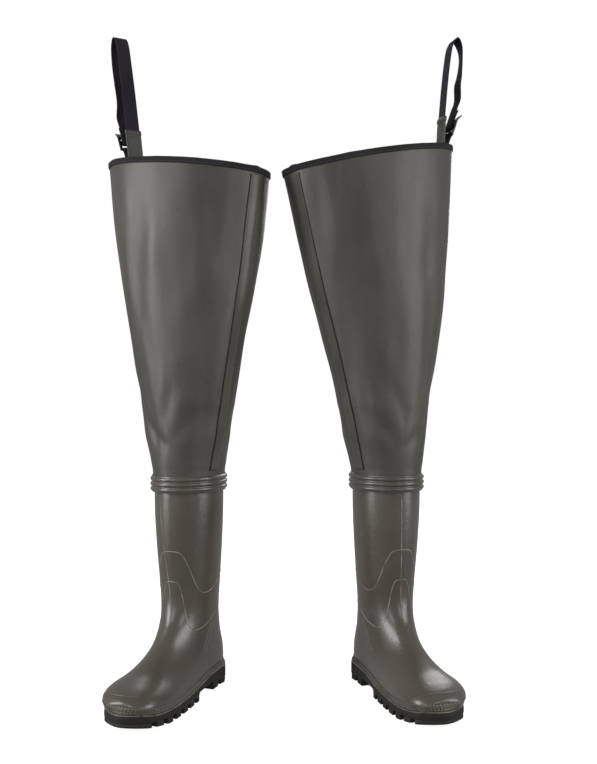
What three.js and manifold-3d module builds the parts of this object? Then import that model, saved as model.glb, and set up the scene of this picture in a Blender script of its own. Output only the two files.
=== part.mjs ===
// A pair of PVC hip waders: a moulded boot with a cleated sole, a coated-fabric leg welded on under the
// knee, a bound top edge, and a webbing belt loop with a ladder-lock buckle on each.
//
// Millimetres, +Z up. The toes point towards -Y and turn outwards. "right" and "left" are the wearer's:
// the right wader stands at -X. Inside one wader x is measured outwards from the leg's centre, u forwards
// towards the toe, and z up from the floor, from an origin on the floor under the ankle.
import * as THREE from "three";
import { mergeVertices } from "three/addons/utils/BufferGeometryUtils.js";
import Module from "manifold-3d";

const wasm = await Module();
wasm.setup();

// ---------------------------------------------------------------- driving dimensions
const GAP = 0.3; // clearance between pieces that touch

// Each wader as it stands: its place, how far its toe turns out and its leg leans sideways at the rim,
// the rim's middle height and slope, how far the sleeve is pressed flat there, and its belt loop: where it
// is sewn (degrees forwards from the outer side), how high it and its hardware are drawn up above the rim,
// and how far it leans out and along the rim.
const WADERS = {
  right: {
    side: -1,
    x: -178,
    y: 20,
    toeOut: 22,
    lean: 0,
    rimMid: 840,
    rimSlope: 0.1,
    flat: 1,
    loop: { at: -23, height: 238, rise: 18, lean: 6, turn: 3 },
  },
  left: {
    side: 1,
    x: 144,
    y: 36,
    toeOut: 20,
    lean: -35,
    rimMid: 857,
    rimSlope: 0.19,
    flat: 1.05,
    loop: { at: 2, height: 186, rise: 0, lean: 2.5, turn: 0 },
  },
};

const SHELL_WALL = 2.6;
const SHELL_FLOOR = 3.4;
const LINING_WALL = 1.2;
const LINING_DROP = 2; // how far the lining's edge stays under the shell's
const INSOLE_THICKNESS = 4;
const SHAFT_TOP = 345;
const BOOT_SEGMENTS = 20;

const SOLE_EDGE = 3; // how far the outsole stands out past the shell
const SOLE_RIM = 6; // how far the outsole's rim comes up the shell
const HEEL_BREAST = -4; // u of the heel block's front face
const FOREFOOT_BACK = 52; // u where the forefoot's tread begins
const ARCH_CLEARANCE = 13;
const TREAD_DEPTH = 9;
const TREAD_PITCH = 24;
const TREAD_GROOVE = 9;
const TREAD_CHANNEL = 16; // the lengthwise channel down the middle of the forefoot
const TOE_SPRING = 7;

const SLEEVE_WALL = 1.0;
const SLEEVE_SEGMENTS = 28;
const HEM_DEPTH = 22; // how far the sleeve's hem reaches down outside the shaft
const KNEE_TOP = 460; // the sleeve bends below this height
const SEAM_AT = 164; // degrees forwards from the outer side: the inner front of the leg
const SEAM_WIDTH = 20;
const SEAM_THICKNESS = 0.7;

const COLLAR_RIBS = 3;
const COLLAR_PITCH = 8;
const COLLAR_BODY = 1.4;
const COLLAR_RIB = 2.4; // how far each rib stands out from the band

const BINDING_HEIGHT = 10;
const BINDING_WALL = 1.2;

const WEBBING_WIDTH = 25;
const WEBBING_THICKNESS = 1.6;
const SHEATH_TOP = 52; // above the rim, as the loop's other heights, before the loop's own rise
const SHEATH_WALL = 1.2;
const PATCH_WIDTH = 42;
const PATCH_TOP = 13;
const PATCH_HEIGHT = 46;
const PATCH_THICKNESS = 1;

const BUCKLE_WIDTH = 35;
const BUCKLE_PLATE = 3;
const BUCKLE_HINGE = 20; // from the strap's fold to the buckle's anchor bar, along the tab
const BUCKLE_LENGTH = 30;
const BUCKLE_TILT = 17; // how far the tab and the buckle lean outwards at rest, in degrees
const LEG_SPACING = 8; // from the buckle's tab to the loop's inner leg
const TAIL_REACH = 12; // how far the webbing's end stands above the buckle's lip
const BAR_RADIUS = 1.8;
const FOLD_ROOM = 5; // height above the rim where the strap is free to fold

// The boot's outer skin, one entry per ring from the shaft's top to the toe: the ring's back (or sole)
// point and its front (or instep) point as [u, z], its half width, how square its sole side is (2 is
// round), and how far its middle lies inwards (negative) of the foot's centre line.
const BOOT_RINGS = [
  { back: [-65, SHAFT_TOP], front: [61, SHAFT_TOP], half: 53, square: 2, shift: 0 },
  { back: [-66, 290], front: [61, 290], half: 52.5, square: 2, shift: 0 },
  { back: [-67, 230], front: [59, 233], half: 49, square: 2, shift: 0 },
  { back: [-66, 170], front: [55, 181], half: 44.5, square: 2, shift: 0 },
  { back: [-65, 125], front: [55, 146], half: 41, square: 2.1, shift: 0 },
  { back: [-71, 86], front: [62, 123], half: 39.5, square: 2.3, shift: 0 },
  { back: [-79, 50], front: [75, 107], half: 39.5, square: 2.8, shift: 0 },
  { back: [-74, 24], front: [89, 94], half: 39.5, square: 3.2, shift: 0 },
  { back: [-34, 22], front: [107, 82], half: 39, square: 4, shift: 0 },
  { back: [10, 20], front: [126, 72], half: 41, square: 5, shift: 0 },
  { back: [60, 15], front: [146, 64], half: 46, square: 5, shift: 0 },
  { back: [110, 13], front: [168, 59], half: 50.5, square: 5, shift: 0 },
  { back: [150, 13], front: [186, 55], half: 49, square: 5, shift: -2 },
  { back: [180, 15], front: [201, 50], half: 42, square: 4.5, shift: -5 },
  { back: [201, 19], front: [211, 43], half: 30, square: 4, shift: -8 },
];

// The leg sleeve, one entry per height: its outer half width across and half depth front to back.
const SLEEVE_RINGS = [
  { z: SHAFT_TOP - HEM_DEPTH, across: 55.2, deep: 65.6 },
  { z: SHAFT_TOP + 2, across: 55.2, deep: 65.6 },
  { z: 364, across: 58, deep: 66.5 },
  { z: 405, across: 66, deep: 70 },
  { z: KNEE_TOP, across: 76, deep: 74 },
  { z: 560, across: 95, deep: 81 },
  { z: 660, across: 113, deep: 87 },
  { z: 760, across: 128, deep: 91 },
  { z: 850, across: 140, deep: 93 },
];

// ---------------------------------------------------------------- small helpers
const radians = THREE.MathUtils.degToRad;
const lerp = THREE.MathUtils.lerp;

function material(name, color, roughness, metalness = 0) {
  return new THREE.MeshStandardMaterial({ name, color, roughness, metalness });
}

const PVC = material("moulded_pvc", 0x5f5c55, 0.42);
const SOLE_PVC = material("sole_pvc", 0x24211c, 0.7);
const LINING = material("knit_lining", 0x3a3a38, 0.95);
const FOOTBED = material("felt_insole", 0x55524c, 0.95);
const COATED = material("coated_fabric", 0x57544d, 0.5);
const BINDING = material("binding_tape", 0x26252b, 0.85);
const WEBBING = material("webbing", 0x221f26, 0.85);
const BUCKLE = material("buckle_plastic", 0x141414, 0.45);

function signedVolume(positions, index) {
  let sum = 0;
  const corner = [new THREE.Vector3(), new THREE.Vector3(), new THREE.Vector3()];
  for (let i = 0; i < index.length; i += 3) {
    corner.forEach((v, k) => v.fromArray(positions, index[i + k] * 3));
    sum += corner[0].dot(corner[1].cross(corner[2]));
  }
  return sum / 6;
}

// A closed solid whose skin runs through rings of points that all go the same way round. The end rings
// are capped with flat fans, or joined to each other where loop is true.
function loftSolid(rings, { loop = false } = {}) {
  const count = rings[0].length;
  const positions = rings.flat().flatMap((p) => p.toArray());
  const index = [];
  const last = loop ? rings.length : rings.length - 1;
  for (let r = 0; r < last; r++) {
    const from = r * count;
    const to = ((r + 1) % rings.length) * count;
    for (let i = 0; i < count; i++) {
      const j = (i + 1) % count;
      index.push(from + i, from + j, to + j, from + i, to + j, to + i);
    }
  }
  if (!loop) {
    for (const [start, flip] of [[0, true], [(rings.length - 1) * count, false]]) {
      const ring = rings[start / count];
      const middle = ring.reduce((sum, p) => sum.add(p), new THREE.Vector3()).divideScalar(count);
      const hub = positions.length / 3;
      positions.push(...middle.toArray());
      for (let i = 0; i < count; i++) {
        const pair = [start + i, start + ((i + 1) % count)];
        index.push(...(flip ? pair.reverse() : pair), hub);
      }
    }
  }
  if (signedVolume(positions, index) < 0) {
    for (let i = 0; i < index.length; i += 3) [index[i], index[i + 1]] = [index[i + 1], index[i]];
  }
  const geometry = new THREE.BufferGeometry();
  geometry.setAttribute("position", new THREE.Float32BufferAttribute(positions, 3));
  geometry.setIndex(index);
  return geometry;
}

// A geometry as a manifold-3d solid, for cutting and joining.
function solid(geometry) {
  const bare = geometry.clone();
  bare.deleteAttribute("normal");
  bare.deleteAttribute("uv");
  const merged = mergeVertices(bare, 1e-3);
  return new wasm.Manifold(
    new wasm.Mesh({
      numProp: 3,
      vertProperties: new Float32Array(merged.attributes.position.array),
      triVerts: new Uint32Array(merged.index.array),
    }),
  );
}

function geometryOf(body) {
  const mesh = body.getMesh();
  const geometry = new THREE.BufferGeometry();
  geometry.setAttribute("position", new THREE.Float32BufferAttribute(mesh.vertProperties, 3));
  geometry.setIndex([...mesh.triVerts]);
  return geometry;
}

function box(width, depth, height, x, y, z) {
  return new THREE.BoxGeometry(width, depth, height).translate(x, y, z);
}

// A shape drawn in the (u, z) plane, as a slab across the wader.
function sideSlab(points, width) {
  const outline = new THREE.Shape(points.map(([u, z]) => new THREE.Vector2(u, z)));
  const slab = new THREE.ExtrudeGeometry(outline, { depth: width, bevelEnabled: false });
  slab.translate(0, 0, -width / 2);
  // shape x -> -Y (forwards), shape y -> +Z, extrusion -> -X
  slab.applyMatrix4(new THREE.Matrix4().set(0, 0, -1, 0, -1, 0, 0, 0, 0, 1, 0, 0, 0, 0, 0, 1));
  return slab;
}

// ---------------------------------------------------------------- the boot
// One ring of the boot, drawn in by inset all round and by floor more on the sole side.
function bootRing(ring, side, inset = 0, floor = 0) {
  const toeward = THREE.MathUtils.smoothstep(ring.back[0], 110, 201);
  const back = new THREE.Vector2(...ring.back);
  const front = new THREE.Vector2(...ring.front);
  const middle = back.clone().add(front).divideScalar(2);
  const up = front.clone().sub(back);
  const reach = up.length() / 2;
  up.normalize();
  const points = [];
  for (let i = 0; i < BOOT_SEGMENTS; i++) {
    const turn = (2 * Math.PI * i) / BOOT_SEGMENTS;
    const c = Math.cos(turn);
    const s = Math.sin(turn);
    const power = 2 / (c < 0 ? ring.square : 2);
    const along = Math.sign(c) * Math.abs(c) ** power * (reach - inset - (c < 0 ? floor : 0));
    const across = Math.sign(s) * Math.abs(s) ** power * (ring.half - inset);
    const u = middle.x + up.x * along - toeward * inset;
    points.push(new THREE.Vector3(side * (ring.shift + across), -u, middle.y + up.y * along));
  }
  return points;
}

// All the boot's rings from the shaft down to the toe, with the top ring lowered by drop.
function bootSkin(side, inset, floor = 0, drop = 0) {
  const down = ([u, z]) => [u, z - drop];
  const [top, ...others] = BOOT_RINGS;
  const lowered = [{ ...top, back: down(top.back), front: down(top.front) }, ...others];
  return lowered.map((ring) => bootRing(ring, side, inset, ring.square > 2.5 ? floor : 0));
}

// A cup between two skins, open at the shaft's top. The first skin's rings are run backwards, so its
// facets split along other diagonals than the second's, and two skins that face each other across a gap
// are made the same way round.
function cup(first, second) {
  return loftSolid([...first.toReversed(), ...second]);
}

const liningOutset = SHELL_WALL + GAP;
const liningInset = liningOutset + LINING_WALL;

function bootShell(side) {
  return cup(bootSkin(side, 0), bootSkin(side, SHELL_WALL, SHELL_FLOOR - SHELL_WALL));
}

function bootLining(side) {
  const floor = SHELL_FLOOR - SHELL_WALL;
  const skin = (inset) => bootSkin(side, inset, floor, LINING_DROP);
  return cup(skin(liningInset), skin(liningOutset));
}

// The footbed fills the bottom of the lined boot up to its own thickness.
function insole(side) {
  const floor = SHELL_FLOOR - SHELL_WALL;
  const cavity = solid(loftSolid(bootSkin(side, liningInset + GAP, floor).toReversed()));
  const lift = SHELL_FLOOR + LINING_WALL + 2 * GAP + INSOLE_THICKNESS;
  const heel = BOOT_RINGS.findIndex((ring) => ring.square > 3);
  const sole = BOOT_RINGS.slice(heel).map((ring) => [ring.back[0], ring.back[1] + lift]);
  const reach = 100;
  const under = [[-reach, 0], [-reach, sole[0][1]], ...sole, [2.5 * reach, sole.at(-1)[1]], [2.5 * reach, 0]];
  return geometryOf(cavity.intersect(solid(sideSlab(under.reverse(), 2 * reach))));
}

// ---------------------------------------------------------------- the outsole
// The sole's outline seen from above: heel, waist, ball and toe, standing out by edge from the shell.
function soleOutline(side, edge) {
  const rings = BOOT_RINGS.slice(BOOT_RINGS.findIndex((ring) => ring.square > 2.5));
  const outer = rings.map((ring) => [ring.shift + ring.half + edge, ring.back[0]]);
  const inner = rings.map((ring) => [ring.shift - ring.half - edge, ring.back[0]]);
  const heelBack = BOOT_RINGS.reduce((least, ring) => Math.min(least, ring.back[0]), 0) - edge;
  const toeTip = BOOT_RINGS.at(-1).front[0] + 4 + edge;
  const toe = BOOT_RINGS.at(-1);
  outer[0] = [rings[0].half * 0.62, heelBack + 6];
  inner[0] = [-rings[0].half * 0.62, heelBack + 6];
  outer[1] = [rings[1].half * 0.97 + edge, heelBack + 32];
  inner[1] = [-rings[1].half * 0.97 - edge, heelBack + 32];
  const loop = [[0, heelBack], ...outer, [toe.shift, toeTip], ...inner.reverse()];
  const curve = new THREE.CatmullRomCurve3(
    loop.map(([x, u]) => new THREE.Vector3(side * x, -u, 0)),
    true,
    "centripetal",
  );
  return new THREE.Shape(curve.getPoints(44).slice(0, -1).map((p) => new THREE.Vector2(p.x, p.y)));
}

// The side view of the sole block: flat on the floor, sprung up at the toe, its rim following the shell.
function soleProfile() {
  const rings = BOOT_RINGS.slice(BOOT_RINGS.findIndex((ring) => ring.square > 3));
  const rim = rings.map((ring) => [ring.back[0], ring.back[1] + SOLE_RIM]);
  const far = 260;
  return [
    [-far, 0],
    [150, 0],
    [200, TOE_SPRING],
    [far, 2.4 * TOE_SPRING],
    [far, rim.at(-1)[1] + 2],
    ...rim.reverse(),
    [-far, rim.at(-1)[1]],
  ];
}

function outsole(side) {
  const height = 60;
  const upwards = { depth: height, bevelEnabled: false };
  const plan = new THREE.ExtrudeGeometry(soleOutline(side, SOLE_EDGE), upwards);
  const width = 200;
  let body = solid(plan).intersect(solid(sideSlab(soleProfile(), width)));
  body = body.subtract(solid(loftSolid(bootSkin(side, -GAP).toReversed())));
  const cut = (geometry) => (body = body.subtract(solid(geometry)));
  const arch = FOREFOOT_BACK - HEEL_BREAST;
  cut(box(width, arch, 2 * ARCH_CLEARANCE, 0, -(FOREFOOT_BACK + HEEL_BREAST) / 2, 0));
  // cross grooves between the cleats, open at both edges of the sole
  for (let u = FOREFOOT_BACK + TREAD_PITCH - TREAD_GROOVE; u < 195; u += TREAD_PITCH) {
    cut(box(width, TREAD_GROOVE, 2 * TREAD_DEPTH, 0, -u, 0));
  }
  const heelBack = BOOT_RINGS[6].back[0];
  for (let u = HEEL_BREAST - TREAD_PITCH; u > heelBack + TREAD_GROOVE; u -= TREAD_PITCH) {
    cut(box(width, TREAD_GROOVE, 2 * TREAD_DEPTH, 0, -u, 0));
  }
  // the middle channel stops short of the toe and the heel's back
  const channelEnd = 175;
  const forefoot = channelEnd - FOREFOOT_BACK + 2;
  cut(box(TREAD_CHANNEL, forefoot, 1.2 * TREAD_DEPTH, 0, -(channelEnd + FOREFOOT_BACK) / 2, 0));
  const heel = HEEL_BREAST - heelBack - 18;
  cut(box(TREAD_CHANNEL * 0.7, heel, 1.2 * TREAD_DEPTH, 0, -(HEEL_BREAST - heel / 2 + 1), 0));
  return geometryOf(body);
}

// ---------------------------------------------------------------- the leg sleeve
const hemMiddle = (BOOT_RINGS[0].back[0] + BOOT_RINGS[0].front[0]) / 2;

// How far up the leg a height lies, from 0 at the shaft's top to 1 at the rim.
function riseAt(wader, z) {
  return Math.max(0, z - SHAFT_TOP - 2) / (wader.rimMid - SHAFT_TOP - 2);
}

// Outer half sizes of the sleeve at a height, straight between the entries of the list.
function sleeveSize(wader, z) {
  const last = SLEEVE_RINGS.length - 1;
  const i = Math.min(last - 1, Math.max(0, SLEEVE_RINGS.findIndex((ring) => ring.z >= z) - 1));
  const k = SLEEVE_RINGS[last].z <= z ? last - 1 : i;
  const [low, high] = [SLEEVE_RINGS[k], SLEEVE_RINGS[k + 1]];
  const share = (z - low.z) / (high.z - low.z);
  const flat = lerp(1, wader.flat, riseAt(wader, z));
  const across = lerp(low.across, high.across, share) * flat;
  const deep = lerp(low.deep, high.deep, share) / flat;
  return { across, deep };
}

// How far the leg has leaned sideways at a height.
function leanAt(wader, z) {
  return wader.lean * riseAt(wader, z) ** 1.5;
}

// A point on the sleeve: turn in degrees forwards from the outer side, z, and how far outside its skin.
function sleevePoint(wader, turn, z, out = 0) {
  const { across, deep } = sleeveSize(wader, z);
  const x = leanAt(wader, z) + (across + out) * Math.cos(radians(turn));
  const u = hemMiddle + (deep + out) * Math.sin(radians(turn));
  return new THREE.Vector3(wader.side * x, -u, z);
}

// Height of the sleeve's cut edge round the leg, higher on the outer side.
function rimHeight(wader, turn) {
  const { across } = sleeveSize(wader, wader.rimMid);
  return wader.rimMid + wader.rimSlope * across * Math.cos(radians(turn));
}

// A height that runs evenly from KNEE_TOP, at share 0, to the slanting rim, at share 1.
function thighHeight(wader, turn, share) {
  return lerp(KNEE_TOP, rimHeight(wader, turn), share);
}

const TURNS = Array.from({ length: SLEEVE_SEGMENTS }, (_, i) => (360 * i) / SLEEVE_SEGMENTS);
const KNEE_HEIGHTS = SLEEVE_RINGS.map((ring) => ring.z).filter((z) => z <= KNEE_TOP);
const THIGH_SHARES = [0, 0.25, 0.5, 0.75, 0.95, 1];

function tube(ringAt, levels) {
  const outer = levels.map((level) => ringAt(level, 0));
  const inner = levels.map((level) => ringAt(level, -SLEEVE_WALL));
  return loftSolid([...outer, ...inner.reverse()], { loop: true });
}

function sleeveKnee(wader) {
  const heights = KNEE_HEIGHTS.with(-1, KNEE_TOP - GAP);
  return tube((z, out) => TURNS.map((turn) => sleevePoint(wader, turn, z, out)), heights);
}

function thighPoint(wader, turn, share, out) {
  return sleevePoint(wader, turn, thighHeight(wader, turn, share), out);
}

function sleeveThigh(wader) {
  return tube((share, out) => TURNS.map((turn) => thighPoint(wader, turn, share, out)), THIGH_SHARES);
}

// A welded strip over the sleeve's seam. pointAt gives the sleeve's skin at a level.
function seamTape(pointAt, sizeAt, levels) {
  const rings = levels.map((level) => {
    const { across, deep } = sizeAt(level);
    const perRadian = Math.hypot(across * Math.sin(radians(SEAM_AT)), deep * Math.cos(radians(SEAM_AT)));
    const half = THREE.MathUtils.radToDeg(SEAM_WIDTH / 2 / perRadian);
    const [low, high] = [GAP, GAP + SEAM_THICKNESS];
    const corners = [[-half, low], [0, low], [half, low], [half, high], [0, high], [-half, high]];
    return corners.map(([turn, out]) => pointAt(SEAM_AT + turn, level, out));
  });
  return loftSolid(rings);
}

function seamTapeKnee(wader) {
  const heights = KNEE_HEIGHTS.filter((z) => z > SHAFT_TOP + 2).with(-1, KNEE_TOP - GAP);
  heights.unshift(SHAFT_TOP + 5);
  const sizeAt = (z) => sleeveSize(wader, z);
  return seamTape((turn, z, out) => sleevePoint(wader, turn, z, out), sizeAt, heights);
}

function seamTapeThigh(wader) {
  const stop = 1 - (BINDING_HEIGHT + 1) / (rimHeight(wader, SEAM_AT) - KNEE_TOP);
  const shares = THIGH_SHARES.with(-1, stop);
  const sizeAt = (share) => sleeveSize(wader, thighHeight(wader, SEAM_AT, share));
  return seamTape((turn, share, out) => thighPoint(wader, turn, share, out), sizeAt, shares);
}

// A U of tape over the sleeve's cut edge.
function topBinding(wader) {
  const outside = GAP + BINDING_WALL;
  const inside = -SLEEVE_WALL - GAP - BINDING_WALL;
  const profile = [
    [GAP, -BINDING_HEIGHT],
    [outside, -BINDING_HEIGHT],
    [outside, outside],
    [inside, outside],
    [inside, -BINDING_HEIGHT],
    [-SLEEVE_WALL - GAP, -BINDING_HEIGHT],
    [-SLEEVE_WALL - GAP, GAP],
    [GAP, GAP],
  ];
  const rings = profile.map(([out, rise]) =>
    TURNS.map((turn) => {
      const rim = rimHeight(wader, turn);
      const point = sleevePoint(wader, turn, Math.min(rim, rim + rise), out);
      point.z = rim + rise;
      return point;
    }),
  );
  return loftSolid(rings, { loop: true });
}

// The ribbed band welded over the joint of sleeve and shaft.
function collarBand(wader) {
  const bottom = SHAFT_TOP - HEM_DEPTH - 2;
  const height = COLLAR_RIBS * COLLAR_PITCH + 2;
  const inner = 2 * GAP;
  const body = inner + COLLAR_BODY;
  const profile = [[inner, bottom], [body, bottom]];
  for (let rib = 0; rib < COLLAR_RIBS; rib++) {
    const middle = bottom + 1 + COLLAR_PITCH * (rib + 0.5);
    const crest = body + COLLAR_RIB;
    profile.push([body, middle - 3], [crest, middle - 1], [crest, middle + 1], [body, middle + 3]);
  }
  profile.push([body, bottom + height], [inner, bottom + height]);
  const rings = profile.map(([out, z]) =>
    TURNS.map((turn) => {
      const point = sleevePoint(wader, turn, SHAFT_TOP, out);
      point.z = z;
      return point;
    }),
  );
  return loftSolid(rings, { loop: true });
}

// ---------------------------------------------------------------- the belt strap
// Strap pieces are drawn in their own plane: n outwards from the sleeve's skin, h up from the rim, and
// extruded across the webbing's width.
function strip(points, thickness, width) {
  const middle = points.map(([n, h]) => new THREE.Vector2(n, h));
  const sides = [1, -1].map((hand) =>
    middle.map((point, i) => {
      const before = middle[Math.max(0, i - 1)];
      const after = middle[Math.min(middle.length - 1, i + 1)];
      const into = point.clone().sub(before).normalize();
      const from = after.clone().sub(point).normalize();
      const run = into.add(from).normalize();
      const square = i === 0 || i === middle.length - 1;
      const bend = square ? 1 : Math.max(0.7, Math.abs(run.dot(after.clone().sub(point).normalize())));
      const offset = new THREE.Vector2(-run.y, run.x).multiplyScalar((hand * thickness) / 2 / bend);
      return point.clone().add(offset);
    }),
  );
  return plate([...sides[0], ...sides[1].reverse()], width);
}

// An outline in the strap's plane as a block of some width, centred across the strap.
function plate(outline, width) {
  const shape = new THREE.Shape(outline);
  const block = new THREE.ExtrudeGeometry(shape, { depth: width, bevelEnabled: false });
  return block.translate(0, 0, -width / 2);
}

function arc(n, h, radius, from, to, steps) {
  return Array.from({ length: steps + 1 }, (_, i) => {
    const angle = radians(lerp(from, to, i / steps));
    return [n + radius * Math.cos(angle), h + radius * Math.sin(angle)];
  });
}

const layer = WEBBING_THICKNESS + GAP;
const bindingInside = -SLEEVE_WALL - GAP - BINDING_WALL;
const SKIN_SAG = 0.004 * WEBBING_WIDTH ** 2; // how far the curved rim falls away behind the flat webbing
const tabAt = bindingInside - SKIN_SAG - GAP - layer; // n of the buckle's tab at the rim
const legAt = tabAt - LEG_SPACING; // n of the loop's inner leg

// A point given along and across the tilted tab, from the strap's fold, in the strap's own (n, h).
function onTab(n, h) {
  const tilt = radians(BUCKLE_TILT);
  const across = n * Math.cos(tilt) + h * Math.sin(tilt);
  return [tabAt + across, FOLD_ROOM + h * Math.cos(tilt) - n * Math.sin(tilt)];
}

// Where the loop's outer leg meets the strand that runs through the buckle.
const strandSkin = -BUCKLE_PLATE / 2 - GAP - WEBBING_THICKNESS / 2;
const loadStrand = strandSkin - layer;
const STRAND_TOP = BUCKLE_LENGTH + TAIL_REACH + 6;

// The loop's inner leg is straight as far as the sheath reaches.
function legLine(h) {
  return [legAt + 0.015 * (h - FOLD_ROOM), h];
}

// The free loop: up the inner leg, over the top and down the outer leg to the buckle.
function strapLoop({ height: top, rise }) {
  const n = (out) => legAt + out;
  const foot = [legLine(SHEATH_TOP + rise + 2), [n(3), 0.55 * top], [n(6), 0.77 * top]];
  const crown = [[n(10), top - 14], [n(19), top], [n(28), top - 12], [n(31), 0.83 * top]];
  const above = BUCKLE_HINGE + rise + STRAND_TOP + 2 * GAP;
  const low = [onTab(loadStrand, above + 14), onTab(loadStrand, above)];
  const waist = Math.max(0.5 * top, low[0][1] + 24);
  const down = [[n(29.5), Math.max(0.68 * top, waist + 18)], [n(27), waist], ...low];
  const curve = new THREE.SplineCurve([...foot, ...crown, ...down].map(([x, y]) => new THREE.Vector2(x, y)));
  const bent = curve.getPoints(30).map((p) => [p.x, p.y]);
  return strip([legLine(FOLD_ROOM), ...bent], WEBBING_THICKNESS, WEBBING_WIDTH);
}

// A tube of coated fabric over the foot of the inner leg.
function strapSheath(rise) {
  const top = SHEATH_TOP + rise;
  const inner = WEBBING_THICKNESS + 2 * GAP;
  const run = (low, high) => [legLine(low), legLine(high)];
  const wall = 2 * SHEATH_WALL;
  const outside = solid(strip(run(FOLD_ROOM, top), inner + wall, WEBBING_WIDTH + 2 * GAP + wall));
  const inside = solid(strip(run(FOLD_ROOM - 1, top + 1), inner, WEBBING_WIDTH + 2 * GAP));
  return geometryOf(outside.subtract(inside));
}

// Webbing folded round the buckle's anchor bar, drawn upright from the strap's fold.
function buckleTab(length) {
  const around = BAR_RADIUS + GAP + WEBBING_THICKNESS / 2;
  const half = layer / 2;
  const bend = arc(0, length, around, 230, -50, 10);
  const points = [[-half, 0], [-half, length - 7], ...bend, [half, length - 7], [half, 0]];
  return strip(points, WEBBING_THICKNESS, WEBBING_WIDTH);
}

// The ladder-lock, drawn upright with its anchor bar's axis at the origin: a frame, a cross bar that
// grips the webbing, and a bar with a flared thumb lip along the top.
const CROSS_BAR = [11, 15];
const LIP_BAR = [20.5, 24.5];

function ladderBuckle() {
  const rail = (BUCKLE_WIDTH - WEBBING_WIDTH) / 2 - 2 * GAP;
  const across = BUCKLE_WIDTH;
  const slab = ([low, high], width, at = 0) =>
    solid(box(BUCKLE_PLATE, high - low, width, 0, (low + high) / 2, at));
  const bar = new THREE.CylinderGeometry(BAR_RADIUS, BAR_RADIUS, across - 1, 12).rotateX(Math.PI / 2);
  let body = solid(bar);
  for (const at of [-(across - rail) / 2, (across - rail) / 2]) {
    body = body.add(slab([-BAR_RADIUS, LIP_BAR[1]], rail, at));
  }
  body = body.add(slab(CROSS_BAR, across)).add(slab(LIP_BAR, across));
  const length = BUCKLE_LENGTH - LIP_BAR[0] + 2;
  const lip = box(2.2, length, across + 2, 0, length / 2, 0).rotateZ(radians(-28));
  return geometryOf(body.add(solid(lip.translate(0.6, LIP_BAR[0] + 1, 0))));
}

// The webbing in the buckle, drawn in the buckle's own frame: the loop's strand comes down behind, goes
// forwards under the cross bar, back over it, and ends as a short tail against the lip.
function strapTail() {
  const [barLow, barHigh] = CROSS_BAR;
  const front = -strandSkin + 0.2;
  const step = GAP + WEBBING_THICKNESS / 2;
  const points = [
    [loadStrand, STRAND_TOP],
    [loadStrand, barLow + 1],
    [loadStrand + 1, barLow - step - 0.4],
    [0, barLow - step - 1.2],
    [front - 0.6, barLow - step - 0.2],
    [front, barLow + 0.8],
    [front, barHigh - 0.4],
    [front - 1, barHigh + step + 0.3],
    [0, barHigh + step + 0.8],
    [strandSkin - 0.1, barHigh + step + 2.6],
    [strandSkin - 0.1, BUCKLE_LENGTH],
    [strandSkin + 1, BUCKLE_LENGTH + TAIL_REACH],
  ];
  return strip(points, WEBBING_THICKNESS, WEBBING_WIDTH - 0.4);
}

// The sewn ends of the webbing inside the sleeve: the tab runs up its wall, and the inner leg slants to
// meet it. slope is how far the wall leans outwards for each millimetre up.
function strapAnchor(slope) {
  const doubled = 2 * WEBBING_THICKNESS;
  const wall = -SLEEVE_WALL - 5 * GAP - PATCH_THICKNESS - SKIN_SAG - doubled / 2;
  const foot = -PATCH_TOP - PATCH_HEIGHT + 7;
  const on = (n, h) => [wall + n + slope * h, h];
  const tab = [on(0, foot), on(0, -PATCH_TOP), [tabAt, -FOLD_ROOM - 2], [tabAt, -FOLD_ROOM]];
  const leg = [on(-layer, foot), on(-layer, foot + 8), on(-layer - 3, foot + 18), [legAt, -FOLD_ROOM]];
  const inner = solid(strip(leg, WEBBING_THICKNESS, WEBBING_WIDTH));
  const [n, h] = on(-layer / 2, foot + 4);
  const stitched = solid(box(layer, 6, WEBBING_WIDTH - 4, n, h, 0));
  return geometryOf(inner.add(solid(strip(tab, doubled, WEBBING_WIDTH))).add(stitched));
}

// The short length of webbing that folds where a leg of the strap passes the rim.
function strapFold(n, thickness, lean, turn) {
  const low = GAP - FOLD_ROOM;
  const corner = (thickness / 2) * Math.sin(radians(lean)) + (WEBBING_WIDTH / 2) * Math.sin(radians(turn));
  const high = -low - corner;
  return strip([[n, low], [n, 0], [n, high]], thickness, WEBBING_WIDTH);
}

// The welded patch on the inside of the sleeve that carries the stitching, bent to the sleeve's curve
// across and straight along the sleeve's wall.
function strapPatch(wader) {
  const spread = 5;
  const { at } = wader.loop;
  const top = rimHeight(wader, at) - PATCH_TOP;
  const { across, deep } = sleeveSize(wader, top);
  const perRadian = Math.hypot(across * Math.sin(radians(at)), deep * Math.cos(radians(at)));
  const half = THREE.MathUtils.radToDeg(PATCH_WIDTH / 2 / perRadian);
  const turns = Array.from({ length: spread }, (_, i) => lerp(-half, half, i / (spread - 1)));
  const near = -SLEEVE_WALL - 4 * GAP;
  const down = sleevePoint(wader, at, top - PATCH_HEIGHT).sub(sleevePoint(wader, at, top));
  const slices = turns.map((turn) => {
    const outer = sleevePoint(wader, at + turn, top, near);
    const inner = sleevePoint(wader, at + turn, top, near - PATCH_THICKNESS);
    return [outer, inner, inner.clone().add(down), outer.clone().add(down)];
  });
  return loftSolid(slices);
}

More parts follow.
